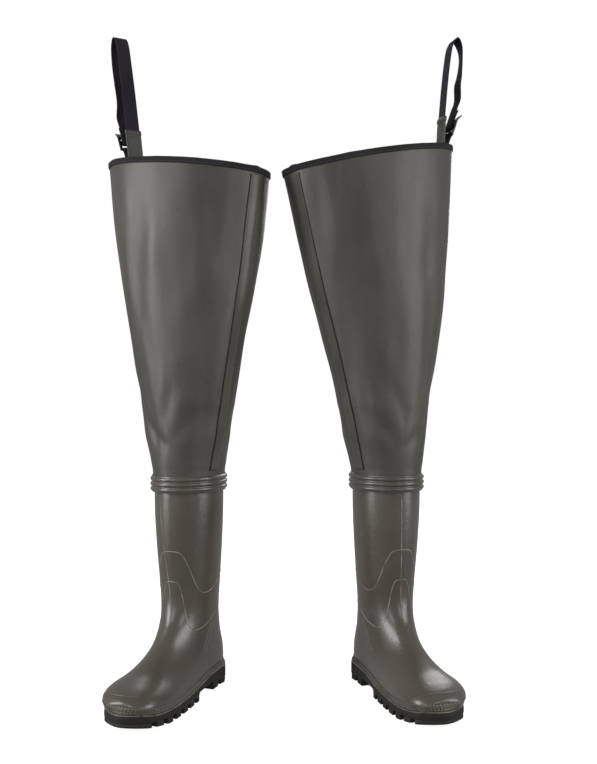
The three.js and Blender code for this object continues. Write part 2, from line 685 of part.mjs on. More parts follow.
// ---------------------------------------------------------------- one wader
// The strap's frame on the rim: x is n (outwards), y is h (up), z runs along the rim.
function strapFrame(wader) {
  const at = radians(wader.loop.at);
  const { across, deep } = sleeveSize(wader, wader.rimMid);
  const outwards = new THREE.Vector3(wader.side * deep * Math.cos(at), -across * Math.sin(at), 0).normalize();
  const up = new THREE.Vector3(0, 0, 1);
  const along = new THREE.Vector3().crossVectors(outwards, up);
  const place = sleevePoint(wader, wader.loop.at, rimHeight(wader, wader.loop.at));
  return new THREE.Matrix4().makeBasis(outwards, up, along).setPosition(place);
}

// How far the sleeve's wall leans outwards there for each millimetre up.
function wallSlope(wader, frame) {
  const rim = rimHeight(wader, wader.loop.at);
  const lower = sleevePoint(wader, wader.loop.at, rim - PATCH_HEIGHT);
  return -lower.applyMatrix4(frame.clone().invert()).x / PATCH_HEIGHT;
}

function placed(parent, n = 0, h = 0, turnAlong = 0, tilt = 0) {
  const group = new THREE.Group();
  group.position.set(n, h, 0);
  group.rotation.set(turnAlong, 0, tilt);
  parent.add(group);
  return group;
}

function makeWader(name, wader) {
  const group = new THREE.Group();
  group.position.set(wader.x, wader.y, 0);
  group.rotation.z = radians(wader.side * wader.toeOut);
  const add = (parent, piece, geometry, look) => {
    const mesh = new THREE.Mesh(geometry, look);
    mesh.name = `${name}_${piece}`;
    parent.add(mesh);
  };
  const { side, loop } = wader;
  add(group, "boot_shell", bootShell(side), PVC);
  add(group, "boot_lining", bootLining(side), LINING);
  add(group, "insole", insole(side), FOOTBED);
  add(group, "outsole", outsole(side), SOLE_PVC);
  add(group, "collar_band", collarBand(wader), PVC);
  add(group, "sleeve_knee", sleeveKnee(wader), COATED);
  add(group, "sleeve_thigh", sleeveThigh(wader), COATED);
  add(group, "seam_tape_knee", seamTapeKnee(wader), COATED);
  add(group, "seam_tape_thigh", seamTapeThigh(wader), COATED);
  add(group, "top_binding", topBinding(wader), BINDING);
  add(group, "strap_patch", strapPatch(wader), COATED);

  const rim = placed(group);
  rim.matrixAutoUpdate = false;
  rim.matrix.copy(strapFrame(wader));
  add(rim, "strap_anchor", strapAnchor(wallSlope(wader, rim.matrix)), WEBBING);
  add(rim, "leg_fold", strapFold(legAt, WEBBING_THICKNESS, loop.lean, loop.turn), WEBBING);
  const tabLean = loop.lean + BUCKLE_TILT + 4;
  add(rim, "tab_fold", strapFold(tabAt, 2 * WEBBING_THICKNESS, tabLean, loop.turn), WEBBING);
  // the free part leans out and along the rim a little
  const free = placed(rim, tabAt, FOLD_ROOM, radians(loop.turn * side), radians(-loop.lean));
  const level = placed(free, -tabAt, -FOLD_ROOM);
  add(level, "strap_webbing", strapLoop(loop), WEBBING);
  add(level, "strap_sheath", strapSheath(loop.rise), COATED);
  const tab = placed(level, tabAt, FOLD_ROOM, 0, radians(-BUCKLE_TILT));
  const hinge = BUCKLE_HINGE + loop.rise;
  add(tab, "buckle_tab", buckleTab(hinge), WEBBING);
  const buckle = placed(tab, 0, hinge);
  add(buckle, "ladder_buckle", ladderBuckle(), BUCKLE);
  add(buckle, "strap_tail", strapTail(), WEBBING);
  return group;
}

const pair = new THREE.Group();
for (const [name, wader] of Object.entries(WADERS)) pair.add(makeWader(name, wader));

// the origin lies on the floor under the middle of the pair
pair.updateMatrixWorld(true);
const bounds = new THREE.Box3().setFromObject(pair, true);
const middle = bounds.getCenter(new THREE.Vector3());
pair.position.set(-middle.x, -middle.y, -bounds.min.z);

export default pair;
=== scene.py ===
import math

import bmesh
import bpy
from mathutils import Matrix, Vector, noise
from mathutils.bvhtree import BVHTree


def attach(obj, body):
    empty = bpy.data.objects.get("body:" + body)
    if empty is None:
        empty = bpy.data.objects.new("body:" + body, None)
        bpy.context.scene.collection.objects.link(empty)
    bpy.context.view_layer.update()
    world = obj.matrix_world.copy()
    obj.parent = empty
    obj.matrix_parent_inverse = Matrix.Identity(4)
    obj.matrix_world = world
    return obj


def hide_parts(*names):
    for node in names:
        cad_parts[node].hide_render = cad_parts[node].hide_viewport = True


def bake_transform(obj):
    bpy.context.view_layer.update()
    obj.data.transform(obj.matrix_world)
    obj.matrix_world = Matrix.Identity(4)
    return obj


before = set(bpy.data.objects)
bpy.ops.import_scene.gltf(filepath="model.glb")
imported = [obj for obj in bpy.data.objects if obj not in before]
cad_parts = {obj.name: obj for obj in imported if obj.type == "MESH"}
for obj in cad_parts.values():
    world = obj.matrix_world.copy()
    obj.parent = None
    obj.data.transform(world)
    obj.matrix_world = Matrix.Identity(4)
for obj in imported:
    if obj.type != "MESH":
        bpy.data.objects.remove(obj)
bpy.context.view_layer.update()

# Sizes are in millimetres. Inside one wader x runs outwards from the leg's centre, u forwards to the toe
# and z up from the floor. Finished meshes are in metres.
MM = 0.001

# ---------------------------------------------------------------- camera
# A level camera straight in front of the pair, half a metre up.
eye = bpy.data.cameras.new("eye")
eye.sensor_width = 36
eye.lens = 44.18
camera = bpy.data.objects.new("camera", eye)
camera.location = (0.0234, -1.4743, 0.495)
camera.rotation_euler = (math.radians(90), 0, 0)
bpy.context.scene.collection.objects.link(camera)
bpy.context.scene.camera = camera

# ---------------------------------------------------------------- sizes shared with the frame
PAIR_SHIFT = (23.383, 25.667)  # from the drawing's origin to the middle of the pair

# Each wader: its side, where its ankle stands, how far its toe turns out, how far its leg leans, its rim's
# height, slope and flattening, and then its belt loop: degrees forwards from the outer side, height, rise
# of the buckle, lean, turn and twist. Then the parting line's degrees, the collar's tilt and a noise seed.
WADERS = {
    "right": {
        "side": -1, "x": -178, "y": 20, "toe_out": 22, "lean": 0, "rim_mid": 840, "rim_slope": 0.1, "flat": 1,
        "at": -23, "height": 238, "rise": 18, "loop_lean": 6, "turn": 3, "twist": 5, "parting": 19,
        "collar_tilt": 0.05, "seed": 3.0,
    },
    "left": {
        "side": 1, "x": 144, "y": 36, "toe_out": 20, "lean": -35, "rim_mid": 857, "rim_slope": 0.19,
        "flat": 1.05, "at": 2, "height": 186, "rise": 0, "loop_lean": 2.5, "turn": 0, "twist": 13,
        "parting": -2, "collar_tilt": 0.0, "seed": 11.0,
    },
}

# The record's slot for each kind of finish.
SLOTS = {
    "boot": "moulded_pvc", "sole": "sole_pvc", "lining": "knit_lining", "footbed": "felt_insole",
    "cloth": "coated_fabric", "binding": "binding_tape", "webbing": "webbing", "buckle": "buckle_plastic",
}

GAP = 0.3
SHELL_WALL = 2.6
LINING_WALL = 1.2
SHAFT_TOP = 345
SLEEVE_WALL = 1.0
HEM = SHAFT_TOP - 22  # the leg's lower edge, inside the collar
KNEE_LOW = 350
KNEE_TOP = 460
SEAM_AT = 164
SEAM_WIDTH = 20
SEAM_END = 11.5  # from the rim down to the seam tape's end
COLLAR_HEIGHT = 26
COLLAR_RIBS = 3
RIB_PITCH = 8
WEBBING_WIDTH = 25
WEBBING_THICKNESS = 1.6
LAYER = WEBBING_THICKNESS + GAP
SHEATH_TOP = 52
BUCKLE_PLATE = 3
BUCKLE_HINGE = 20
BUCKLE_LENGTH = 30
BUCKLE_TILT = 17
FOLD_ROOM = 5
PATCH_HIGH, PATCH_LOW = -13, -59  # the carrier patch, from the rim
PATCH_REACH = PATCH_HIGH - PATCH_LOW
TAB_AT = -7.2
LEG_AT = -15.2
TAIL_REACH = 12
STRAND_TOP = BUCKLE_LENGTH + TAIL_REACH + 6
STRAND_CUT = 88  # from the hinge up to the joint of the loop and the strand through the buckle
STRAND_BEND = (86, 50)  # the strand turns with the buckle between these heights over the hinge
LOOP_STEPS = 14
BUCKLE_WIDTH = 35
BUCKLE_RAIL = 4.4
HINGE_BAR = (-1.9, 1.9)
CROSS_BAR = (11, 15)
LIP_BAR = (20.5, 24.5)
# Stitches, as (half their pitch, length, thread thickness).
RIM_STITCH = (2.0, 2.9, 0.75)
SHEATH_STITCH = (1.6, 2.3, 0.6)
BOX_STITCH = (1.5, 2.2, 0.6)

# The boot's skin from the shaft's top to the toe: back or sole point (u, z), front or instep point,
# half width, how square the sole side is, and how far outwards the middle lies.
BOOT_RINGS = [
    (-65, 345, 61, 345, 53, 2, 0),
    (-66, 290, 61, 290, 52.5, 2, 0),
    (-67, 230, 59, 233, 49, 2, 0),
    (-66, 170, 55, 181, 44.5, 2, 0),
    (-65, 125, 55, 146, 41, 2.1, 0),
    (-71, 86, 62, 123, 39.5, 2.3, 0),
    (-79, 50, 75, 107, 39.5, 2.8, 0),
    (-74, 24, 89, 94, 39.5, 3.2, 0),
    (-34, 22, 107, 82, 39, 4, 0),
    (10, 20, 126, 72, 41, 5, 0),
    (60, 15, 146, 64, 46, 5, 0),
    (110, 13, 168, 59, 50.5, 5, 0),
    (150, 13, 186, 55, 49, 5, -2),
    (180, 15, 201, 50, 42, 4.5, -5),
    (201, 19, 211, 43, 30, 4, -8),
    (208, 24, 213, 38, 16, 3, -9),
    (211, 29, 213.4, 34, 5, 2.4, -9),
]
# The leg's outer half width across and half depth front to back, by height.
SLEEVE_RINGS = [
    (323, 55.2, 65.6), (347, 55.2, 65.6), (364, 58, 66.5), (405, 66, 70), (460, 76, 74),
    (560, 95, 81), (660, 113, 87), (760, 128, 91), (850, 140, 93), (950, 153, 95),
]
HEM_MIDDLE = -2


# ---------------------------------------------------------------- curves
def between(low, high, share):
    return low + (high - low) * share


def eased(value, low, high):
    """0 below low, 1 above high, and smooth between them."""
    share = max(0.0, min(1.0, (value - low) / (high - low)))
    return share * share * (3 - 2 * share)


def curved(before, start, end, after, share):
    """A smooth curve through start and end, with the directions that their neighbours give."""
    square, cube = share**2, share**3
    return [
        0.5
        * (2 * b + (c - a) * share + (2 * a - 5 * b + 4 * c - d) * square + (3 * b - a - 3 * c + d) * cube)
        for a, b, c, d in zip(before, start, end, after)
    ]


def along_list(points, at):
    """The smooth curve through a list of points, at a place counted in points."""
    last = len(points) - 1
    i = min(last - 1, max(0, int(at)))
    near = [points[max(0, i - 1)], points[i], points[i + 1], points[min(last, i + 2)]]
    return curved(*near, at - i)


def spline(points, steps, closed=False):
    """A smooth curve through points, as steps pieces between each two."""
    if closed:
        count = len(points)
        return [
            curved(points[i - 1], points[i], points[(i + 1) % count], points[(i + 2) % count], s / steps)
            for i in range(count)
            for s in range(steps)
        ]
    return [along_list(points, i / steps) for i in range((len(points) - 1) * steps + 1)]


def looked_up(table, key):
    """The smooth curve through a table whose rows start with a rising key."""
    i = max(0, min(len(table) - 2, sum(row[0] <= key for row in table) - 1))
    share = (key - table[i][0]) / (table[i + 1][0] - table[i][0])
    return along_list(table, i + max(0.0, share))[1:]


def resampled(points, spacing):
    """Points a constant spacing apart along a line of points."""
    points = [Vector(p) for p in points]
    out, left = [points[0]], spacing
    for start, end in zip(points, points[1:]):
        length, gone = (end - start).length, 0.0
        while length - gone >= left:
            gone += left
            out.append(start.lerp(end, gone / length))
            left = spacing
        left -= length - gone
    return out


# ---------------------------------------------------------------- mesh making
def loft(bm, rings, caps=True, across=None, looped=False):
    """A skin through rings of points: a circle is bent to the first ring and extruded to each next one.
    Its UV map holds real sizes in metres: round the ring, or across where that is given, and along."""
    count = len(rings[0])
    uv = bm.loops.layers.uv.verify()
    verts = bmesh.ops.create_circle(bm, segments=count, radius=1)["verts"]
    place, rows = {}, []
    run = 0.0
    for r, ring in enumerate(rings):
        if r:
            edges = [bm.edges.get((verts[i - 1], verts[i])) for i in range(count)]
            drawn = bmesh.ops.extrude_edge_only(bm, edges=edges)["geom"]
            fresh = {v for v in drawn if isinstance(v, bmesh.types.BMVert)}
            verts = [next(e.other_vert(v) for e in v.link_edges if e.other_vert(v) in fresh) for v in verts]
            run += sum((Vector(a) - Vector(b)).length for a, b in zip(ring, rings[r - 1])) / count
        girth = [0.0]
        for i in range(count):
            vert = verts[i]
            vert.co = ring[i]
            place[vert] = (r, i)
            girth.append(girth[-1] + (Vector(ring[i]) - Vector(ring[(i + 1) % count])).length)
        rows.append((across or girth, run))
    faces = {f for v in place for f in v.link_faces}
    for face in faces:
        columns = [place[loop.vert][1] for loop in face.loops]
        wraps = 0 in columns and count - 1 in columns
        for loop, column in zip(face.loops, columns):
            r = place[loop.vert][0]
            rounds, far = rows[r]
            if wraps and column == 0:
                column = count
            loop[uv].uv = (rounds[column] * MM, far * MM)
    if looped:
        bmesh.ops.remove_doubles(bm, verts=list(place), dist=0.001)
    elif caps:
        edges = [e for v in place for e in v.link_edges if e.is_boundary]
        bmesh.ops.holes_fill(bm, edges=list(set(edges)), sides=0)
    return list(place)


def finished(name, bm, matrix, material):
    """The object of a mesh drawn in a wader's millimetres, put in place, with its faces outwards."""
    bm.transform(matrix)
    bmesh.ops.recalc_face_normals(bm, faces=bm.faces[:])
    mesh = bpy.data.meshes.new(name)
    for face in bm.faces:
        face.smooth = True
    bm.to_mesh(mesh)
    bm.free()
    obj = bpy.data.objects.new(name, mesh)
    bpy.context.scene.collection.objects.link(obj)
    mesh.materials.append(material)
    return obj


def rides(obj, body, slot, *nodes):
    """Carries a piece on one body in place of the frame's plain nodes, if any; its slot is not used."""
    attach(obj, body)
    if nodes:
        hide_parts(*nodes)


def bends(obj, bodies, ends, slot, *nodes):
    """Bakes a piece into place, hiding the frame's plain nodes; bodies, ends and slot are not used."""
    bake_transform(obj)
    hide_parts(*nodes)


def walled(obj, thickness):
    """Gives a skin its wall, inwards."""
    wall = obj.modifiers.new("wall", "SOLIDIFY")
    wall.thickness = thickness * MM
    wall.offset = -1
    return obj


def ribbon_rings(path, widths, width, thickness):
    """Rings of a flat band with rounded edges, swept along path. widths gives the direction across it."""
    half, skin, corner = width / 2, thickness / 2, thickness * 0.42
    shape = [
        (-half, -skin + corner), (-half + corner, -skin), (-half * 0.5, -skin), (0, -skin),
        (half * 0.5, -skin), (half - corner, -skin), (half, -skin + corner), (half, skin - corner),
        (half - corner, skin), (half * 0.5, skin), (0, skin), (-half * 0.5, skin), (-half + corner, skin),
        (-half, skin - corner),
    ]
    rings = []
    for i, (point, wide) in enumerate(zip(path, widths)):
        run = (path[min(i + 1, len(path) - 1)] - path[max(i - 1, 0)]).normalized()
        wide = (wide - run * wide.dot(run)).normalized()
        face = run.cross(wide)
        rings.append([point + wide * a + face * b for a, b in shape])
    across = [a + half for a, b in shape]
    return rings, across + across[:1]


def stitches(bm, line, half_pitch, length, thickness):
    """A row of stitches: small beads of thread that lie along a line of points."""
    points = resampled(line, half_pitch)
    for start, end in zip(points[::2], points[1::2]):
        run = end - start
        turn = run.to_track_quat("X", "Z").to_matrix().to_4x4()
        size = Matrix.Diagonal((length / 2, thickness / 2, thickness / 2, 1))
        place = Matrix.Translation((start + end) / 2) @ turn @ size
        bmesh.ops.create_uvsphere(bm, u_segments=6, v_segments=4, radius=1, matrix=place)


# ---------------------------------------------------------------- materials
def linear(code):
    """A scene-linear colour from an sRGB hex code."""
    parts = [int(code[i : i + 2], 16) / 255 for i in (1, 3, 5)]
    return tuple(p / 12.92 if p <= 0.04045 else ((p + 0.055) / 1.055) ** 2.4 for p in parts) + (1.0,)


def per(size):
    """How often a pattern of that size in millimetres fits into a metre."""
    return 1000 / size


def add(tree, kind, settings=None, **inputs):
    """Adds one node. An input is a value, a hex colour, or a node or one of its outputs to link from."""
    new = tree.nodes.new("ShaderNode" + kind)
    for key, value in (settings or {}).items():
        setattr(new, key, value)
    for key, value in inputs.items():
        socket = new.inputs[int(key[1:])] if key[0] == "_" else new.inputs[key.replace("_", " ")]
        if isinstance(value, bpy.types.Node):
            value = next(output for output in value.outputs if output.enabled)
        if isinstance(value, bpy.types.NodeSocket):
            tree.links.new(value, socket)
        else:
            socket.default_value = linear(value) if isinstance(value, str) else value
    return new


def made(name, drawn, *details):
    """A material whose shader node the given function draws."""
    material = bpy.data.materials.new(name)
    material.use_nodes = True
    tree = material.node_tree
    tree.nodes.clear()
    add(tree, "OutputMaterial", Surface=drawn(tree, *details))
    return material


COLOUR = {"data_type": "RGBA"}


def moulded_pvc(tree):
    # Plasticised PVC, injection moulded on a sandblasted tool: a smooth satin skin with broad soft
    # highlights, faint flow clouds a hand wide, and dull patches where it has been rubbed. The 0.1 mm
    # blast grain is drawn 0.8 mm wide.
    place = add(tree, "TexCoord").outputs["Object"]
    clouds = add(tree, "TexNoise", Vector=place, Scale=per(110), Detail=4)
    rubbed = add(tree, "TexNoise", Vector=place, Scale=per(38), Detail=5, Roughness=0.6)
    swell = add(tree, "TexNoise", Vector=place, Scale=per(8), Detail=3)
    grain = add(tree, "TexNoise", Vector=place, Scale=per(0.8), Detail=2)
    cloudy = add(tree, "MapRange", Value=clouds, From_Min=0.3, From_Max=0.7)
    worn = add(tree, "MapRange", Value=rubbed, From_Min=0.6, From_Max=0.95)
    dull = add(tree, "MapRange", Value=rubbed, From_Min=0.3, From_Max=0.7, To_Min=0.27, To_Max=0.37)
    tone = add(tree, "Mix", COLOUR, _0=cloudy, _6="#413d36", _7="#4c4840")
    tone = add(tree, "Mix", COLOUR, _0=worn, _6=tone, _7="#58544b")
    height = add(tree, "Math", {"operation": "MULTIPLY_ADD"}, _0=grain, _1=0.35, _2=swell)
    relief = add(tree, "Bump", Height=height, Distance=0.3 * MM)
    return add(
        tree, "BsdfPrincipled", Base_Color=tone, Roughness=dull, IOR=1.5, Coat_Weight=0.3,
        Coat_Roughness=0.22, Normal=relief,
    )


def mould_line(tree):
    # The same PVC standing proud along mould and overlay lines: painted paler than the skin around it, partly
    # as rubbed wear and partly as a painted highlight along the ridge, unevenly along its length.
    place = add(tree, "TexCoord").outputs["Object"]
    worn = add(tree, "TexNoise", Vector=place, Scale=per(17), Detail=4)
    rubbed = add(tree, "MapRange", Value=worn, From_Min=0.35, From_Max=0.65)
    # painted highlight: both colours are paler than the skin, for light caught along the ridge; rubbed wear
    # varies it
    tone = add(tree, "Mix", COLOUR, _0=rubbed, _6="#5a564d", _7="#8d887d")
    grain = add(tree, "TexNoise", Vector=place, Scale=per(1.1), Detail=2)
    relief = add(tree, "Bump", Height=grain, Distance=0.1 * MM)
    return add(tree, "BsdfPrincipled", Base_Color=tone, Roughness=0.45, IOR=1.5, Normal=relief)


def stippled_pvc(tree):
    # The PVC of the toe rand, moulded with a diamond knurl: paler on the tips and darker in the hollows
    # between them, with patches of dirt.
    # The 2.5 mm knurl is drawn 3.6 mm apart.
    where = add(tree, "TexCoord")
    turned = add(tree, "Mapping", Vector=where.outputs["UV"], Rotation=(0, 0, math.radians(45)))
    knurl = add(tree, "TexVoronoi", {"distance": "CHEBYCHEV"}, Vector=turned, Scale=per(3.6), Randomness=0.1)
    dirt = add(tree, "TexNoise", Vector=where.outputs["Object"], Scale=per(25), Detail=4)
    between_tips = add(tree, "MapRange", Value=knurl, From_Min=0.12, From_Max=0.5)
    dirty = add(tree, "MapRange", Value=dirt, From_Min=0.5, From_Max=0.8)
    tone = add(tree, "Mix", COLOUR, _0=between_tips, _6="#6d695e", _7="#211f1a")
    tone = add(tree, "Mix", COLOUR, _0=dirty, _6=tone, _7="#36332d")
    height = add(tree, "Math", {"operation": "MULTIPLY"}, _0=knurl, _1=-1.0)
    relief = add(tree, "Bump", Height=height, Distance=1.2 * MM)
    return add(tree, "BsdfPrincipled", Base_Color=tone, Roughness=0.5, IOR=1.5, Normal=relief)


def sole_pvc(tree):
    # Hard dark PVC of the outsole, moulded matt: scuffed grey on its high edges, dust in its grain.
    place = add(tree, "TexCoord").outputs["Object"]
    scuffs = add(tree, "TexNoise", Vector=place, Scale=per(14), Detail=6, Roughness=0.65)
    dust = add(tree, "TexNoise", Vector=place, Scale=per(70), Detail=4)
    grain = add(tree, "TexNoise", Vector=place, Scale=per(1.4), Detail=3)
    dusty = add(tree, "MapRange", Value=dust, From_Min=0.42, From_Max=0.85)
    scuffed = add(tree, "MapRange", Value=scuffs, From_Min=0.62, From_Max=0.9)
    dull = add(tree, "MapRange", Value=scuffs, From_Min=0.3, From_Max=0.7, To_Min=0.55, To_Max=0.8)
    tone = add(tree, "Mix", COLOUR, _0=dusty, _6="#0f0d09", _7="#1d1a14")
    tone = add(tree, "Mix", COLOUR, _0=scuffed, _6=tone, _7="#312d26")
    height = add(tree, "Math", {"operation": "MULTIPLY_ADD"}, _0=scuffs, _1=1.5, _2=grain)
    relief = add(tree, "Bump", Height=height, Distance=0.3 * MM)
    return add(tree, "BsdfPrincipled", Base_Color=tone, Roughness=dull, IOR=1.45, Normal=relief)


def coated_cloth(tree, dark, light, glow):
    # Nylon cloth spread with soft PVC: a satin coat with broad cloudy rubbing and faint streaks down its
    # length, over a weave that barely shows. The 0.5 mm threads are drawn 1.4 mm wide.
    where = add(tree, "TexCoord")
    drawn_out = add(tree, "Mapping", Vector=where.outputs["Object"], Scale=(1, 1, 0.18))
    clouds = add(tree, "TexNoise", Vector=where.outputs["Object"], Scale=per(180), Detail=4, Roughness=0.5)
    streaks = add(tree, "TexNoise", Vector=drawn_out, Scale=per(30), Detail=3, Roughness=0.5)
    rubbed = add(tree, "TexNoise", Vector=where.outputs["Object"], Scale=per(17), Detail=5, Roughness=0.65)
    weave = add(
        tree, "TexBrick", {"offset": 0.5}, Vector=where.outputs["UV"], Scale=1.0, Mortar_Size=0.16 * MM,
        Brick_Width=1.4 * MM, Row_Height=0.7 * MM, Mortar_Smooth=0.6,
    ).outputs["Fac"]
    wrinkle = add(tree, "TexNoise", Vector=where.outputs["Object"], Scale=per(13), Detail=3)
    worn = add(tree, "MapRange", Value=rubbed, From_Min=0.6, From_Max=1.0)
    dull = add(tree, "MapRange", Value=streaks, From_Min=0.3, From_Max=0.7, To_Min=0.38, To_Max=0.5)
    mottle = add(tree, "Math", {"operation": "MULTIPLY_ADD"}, _0=streaks, _1=0.4, _2=clouds)
    cloudy = add(tree, "MapRange", Value=mottle, From_Min=0.5, From_Max=0.9)
    thread_shade = add(tree, "Math", {"operation": "MULTIPLY"}, _0=weave, _1=0.14)
    tone = add(tree, "Mix", COLOUR, _0=cloudy, _6=dark, _7=light)
    tone = add(tree, "Mix", COLOUR, _0=worn, _6=tone, _7=glow)
    tone = add(tree, "Mix", COLOUR, _0=thread_shade, _6=tone, _7="#1f1d18")
    height = add(tree, "Math", {"operation": "MULTIPLY_ADD"}, _0=weave, _1=-0.1, _2=wrinkle)
    relief = add(tree, "Bump", Height=height, Distance=0.5 * MM)
    return add(
        tree, "BsdfPrincipled", Base_Color=tone, Roughness=dull, IOR=1.47, Coat_Weight=0.15,
        Coat_Roughness=0.35, Normal=relief,
    )


def seam_tape(tree):
    # A strip of the coated cloth ironed over the seam: a little glossier and paler than the leg, with a
    # painted shadow, a dark line, along its forward edge.
    where = add(tree, "TexCoord")
    across = add(tree, "SeparateXYZ", _0=where.outputs["UV"]).outputs["X"]
    clouds = add(tree, "TexNoise", Vector=where.outputs["Object"], Scale=per(55), Detail=4)
    ironed = add(tree, "TexNoise", Vector=where.outputs["Object"], Scale=per(6.5), Detail=3)
    cloudy = add(tree, "MapRange", Value=clouds, From_Min=0.3, From_Max=0.7)
    # painted shadow: a dark line along the tape's forward edge
    edge_shadow = add(tree, "MapRange", Value=across, From_Min=1.2 * MM, From_Max=2.6 * MM, To_Min=1.0, To_Max=0.0)
    tone = add(tree, "Mix", COLOUR, _0=cloudy, _6="#413e37", _7="#504d45")
    tone = add(tree, "Mix", COLOUR, _0=edge_shadow, _6=tone, _7="#141210")
    relief = add(tree, "Bump", Height=ironed, Distance=0.3 * MM)
    return add(tree, "BsdfPrincipled", Base_Color=tone, Roughness=0.4, IOR=1.47, Normal=relief)


def tape_weave(tree, dark, light, rib):
    # Polyester tape, woven with ribs across its length: matt, with a painted highlight on the ribs' tops and
    # painted shade on the threads between them, and lint on top.
    where = add(tree, "TexCoord")
    weave = add(
        tree, "TexBrick", {"offset": 0.5}, Vector=where.outputs["UV"], Scale=1.0, Mortar_Size=rib * 0.2,
        Brick_Width=rib * 1.7, Row_Height=rib, Mortar_Smooth=0.9,
    ).outputs["Fac"]
    lint = add(tree, "TexNoise", Vector=where.outputs["Object"], Scale=per(3.8), Detail=5, Roughness=0.7)
    fade = add(tree, "TexNoise", Vector=where.outputs["Object"], Scale=per(50), Detail=3)
    faded = add(tree, "MapRange", Value=fade, From_Min=0.4, From_Max=0.7)
    dusty = add(tree, "MapRange", Value=lint, From_Min=0.66, From_Max=0.95)
    # painted highlight on the ribs' tops and painted shade on the threads between them
    tone = add(tree, "Mix", COLOUR, _0=weave, _6=light, _7=dark)
    tone = add(tree, "Mix", COLOUR, _0=faded, _6=tone, _7=dark)
    tone = add(tree, "Mix", COLOUR, _0=dusty, _6=tone, _7=light)
    height = add(tree, "Math", {"operation": "MULTIPLY_ADD"}, _0=weave, _1=-2.0, _2=lint)
    relief = add(tree, "Bump", Height=height, Distance=0.3 * MM)
    return add(tree, "BsdfPrincipled", Base_Color=tone, Roughness=0.85, IOR=1.45, Normal=relief)


def buckle_plastic(tree):
    # Black acetal, injection moulded: a fine satin face with hairline scratches along its height.
    where = add(tree, "TexCoord").outputs["Object"]
    drawn_out = add(tree, "Mapping", Vector=where, Scale=(1, 1, 0.2))
    scratches = add(tree, "TexNoise", Vector=drawn_out, Scale=per(4), Detail=6, Roughness=0.7)
    grain = add(tree, "TexNoise", Vector=where, Scale=per(1.1), Detail=3)
    scored = add(tree, "MapRange", Value=scratches, From_Min=0.6, From_Max=0.9)
    dull = add(tree, "MapRange", Value=scratches, From_Min=0.3, From_Max=0.7, To_Min=0.3, To_Max=0.48)
    tone = add(tree, "Mix", COLOUR, _0=scored, _6="#0b0b0c", _7="#242425")
    relief = add(tree, "Bump", Height=grain, Distance=0.08 * MM)
    return add(tree, "BsdfPrincipled", Base_Color=tone, Roughness=dull, IOR=1.48, Normal=relief)


def thread(tree, colour):
    # Bonded polyester sewing thread: a dry sheen, with the dark turns of its twisted plies.
    place = add(tree, "TexCoord").outputs["Object"]
    twist = add(tree, "TexNoise", Vector=place, Scale=per(0.7), Detail=2)
    turns = add(tree, "MapRange", Value=twist, From_Min=0.35, From_Max=0.65)
    tone = add(tree, "Mix", COLOUR, _0=turns, _6=colour, _7="#1c1a19")
    relief = add(tree, "Bump", Height=twist, Distance=0.2 * MM)
    return add(tree, "BsdfPrincipled", Base_Color=tone, Roughness=0.7, IOR=1.5, Normal=relief)


def knit_lining(tree):
    # Polyester jersey, brushed and bonded in the boot: soft wales under a short pale nap. The 1 mm wales
    # are drawn 2 mm apart.
    where = add(tree, "TexCoord")
    wales = add(
        tree, "TexWave", {"bands_direction": "X"}, Vector=where.outputs["UV"], Scale=per(2) / math.pi,
        Distortion=1.5,
    ).outputs["Fac"]
    nap = add(tree, "TexNoise", Vector=where.outputs["Object"], Scale=per(2), Detail=5, Roughness=0.7)
    soft = add(tree, "Math", {"operation": "MULTIPLY_ADD"}, _0=nap, _1=0.8, _2=wales)
    pale = add(tree, "Math", {"operation": "MULTIPLY"}, _0=soft, _1=0.55)
    tone = add(tree, "Mix", COLOUR, _0=pale, _6="#242422", _7="#45453f")
    relief = add(tree, "Bump", Height=soft, Distance=0.6 * MM)
    return add(
        tree, "BsdfPrincipled", Base_Color=tone, Roughness=0.95, IOR=1.45, Sheen_Weight=0.3,
        Sheen_Roughness=0.5, Normal=relief,
    )


def felt_footbed(tree):
    # Needled polyester felt: matted fibres in mixed greys, with a fuzzy edge to the light.
    place = add(tree, "TexCoord").outputs["Object"]
    fibres = add(tree, "TexNoise", Vector=place, Scale=per(3), Detail=6, Roughness=0.75)
    matted = add(tree, "MapRange", Value=fibres, From_Min=0.35, From_Max=0.65)
    tone = add(tree, "Mix", COLOUR, _0=matted, _6="#35332e", _7="#615d55")
    relief = add(tree, "Bump", Height=fibres, Distance=0.8 * MM)
    return add(
        tree, "BsdfPrincipled", Base_Color=tone, Roughness=0.95, IOR=1.45, Sheen_Weight=0.25, Normal=relief
    )


PVC = made("moulded_pvc", moulded_pvc)
PVC_LINE = made("moulded_pvc_edge", mould_line)
STIPPLE = made("stippled_pvc", stippled_pvc)
SOLE = made("sole_pvc", sole_pvc)
CLOTH = made("coated_cloth", coated_cloth, "#33302a", "#454139", "#4d4940")
PATCH_CLOTH = made("coated_patch", coated_cloth, "#2a2823", "#36332c", "#3f3c35")
TAPE = made("seam_tape", seam_tape)
BINDING = made("binding_tape", tape_weave, "#111012", "#222023", 1.2 * MM)
WEBBING = made("belt_webbing", tape_weave, "#120c18", "#261c2e", 1.5 * MM)
BUCKLE = made("buckle_plastic", buckle_plastic)
GREY_THREAD = made("grey_thread", thread, "#5f5b55")
BLACK_THREAD = made("black_thread", thread, "#2e2b30")
LINING = made("knit_lining", knit_lining)
FELT = made("felt_footbed", felt_footbed)


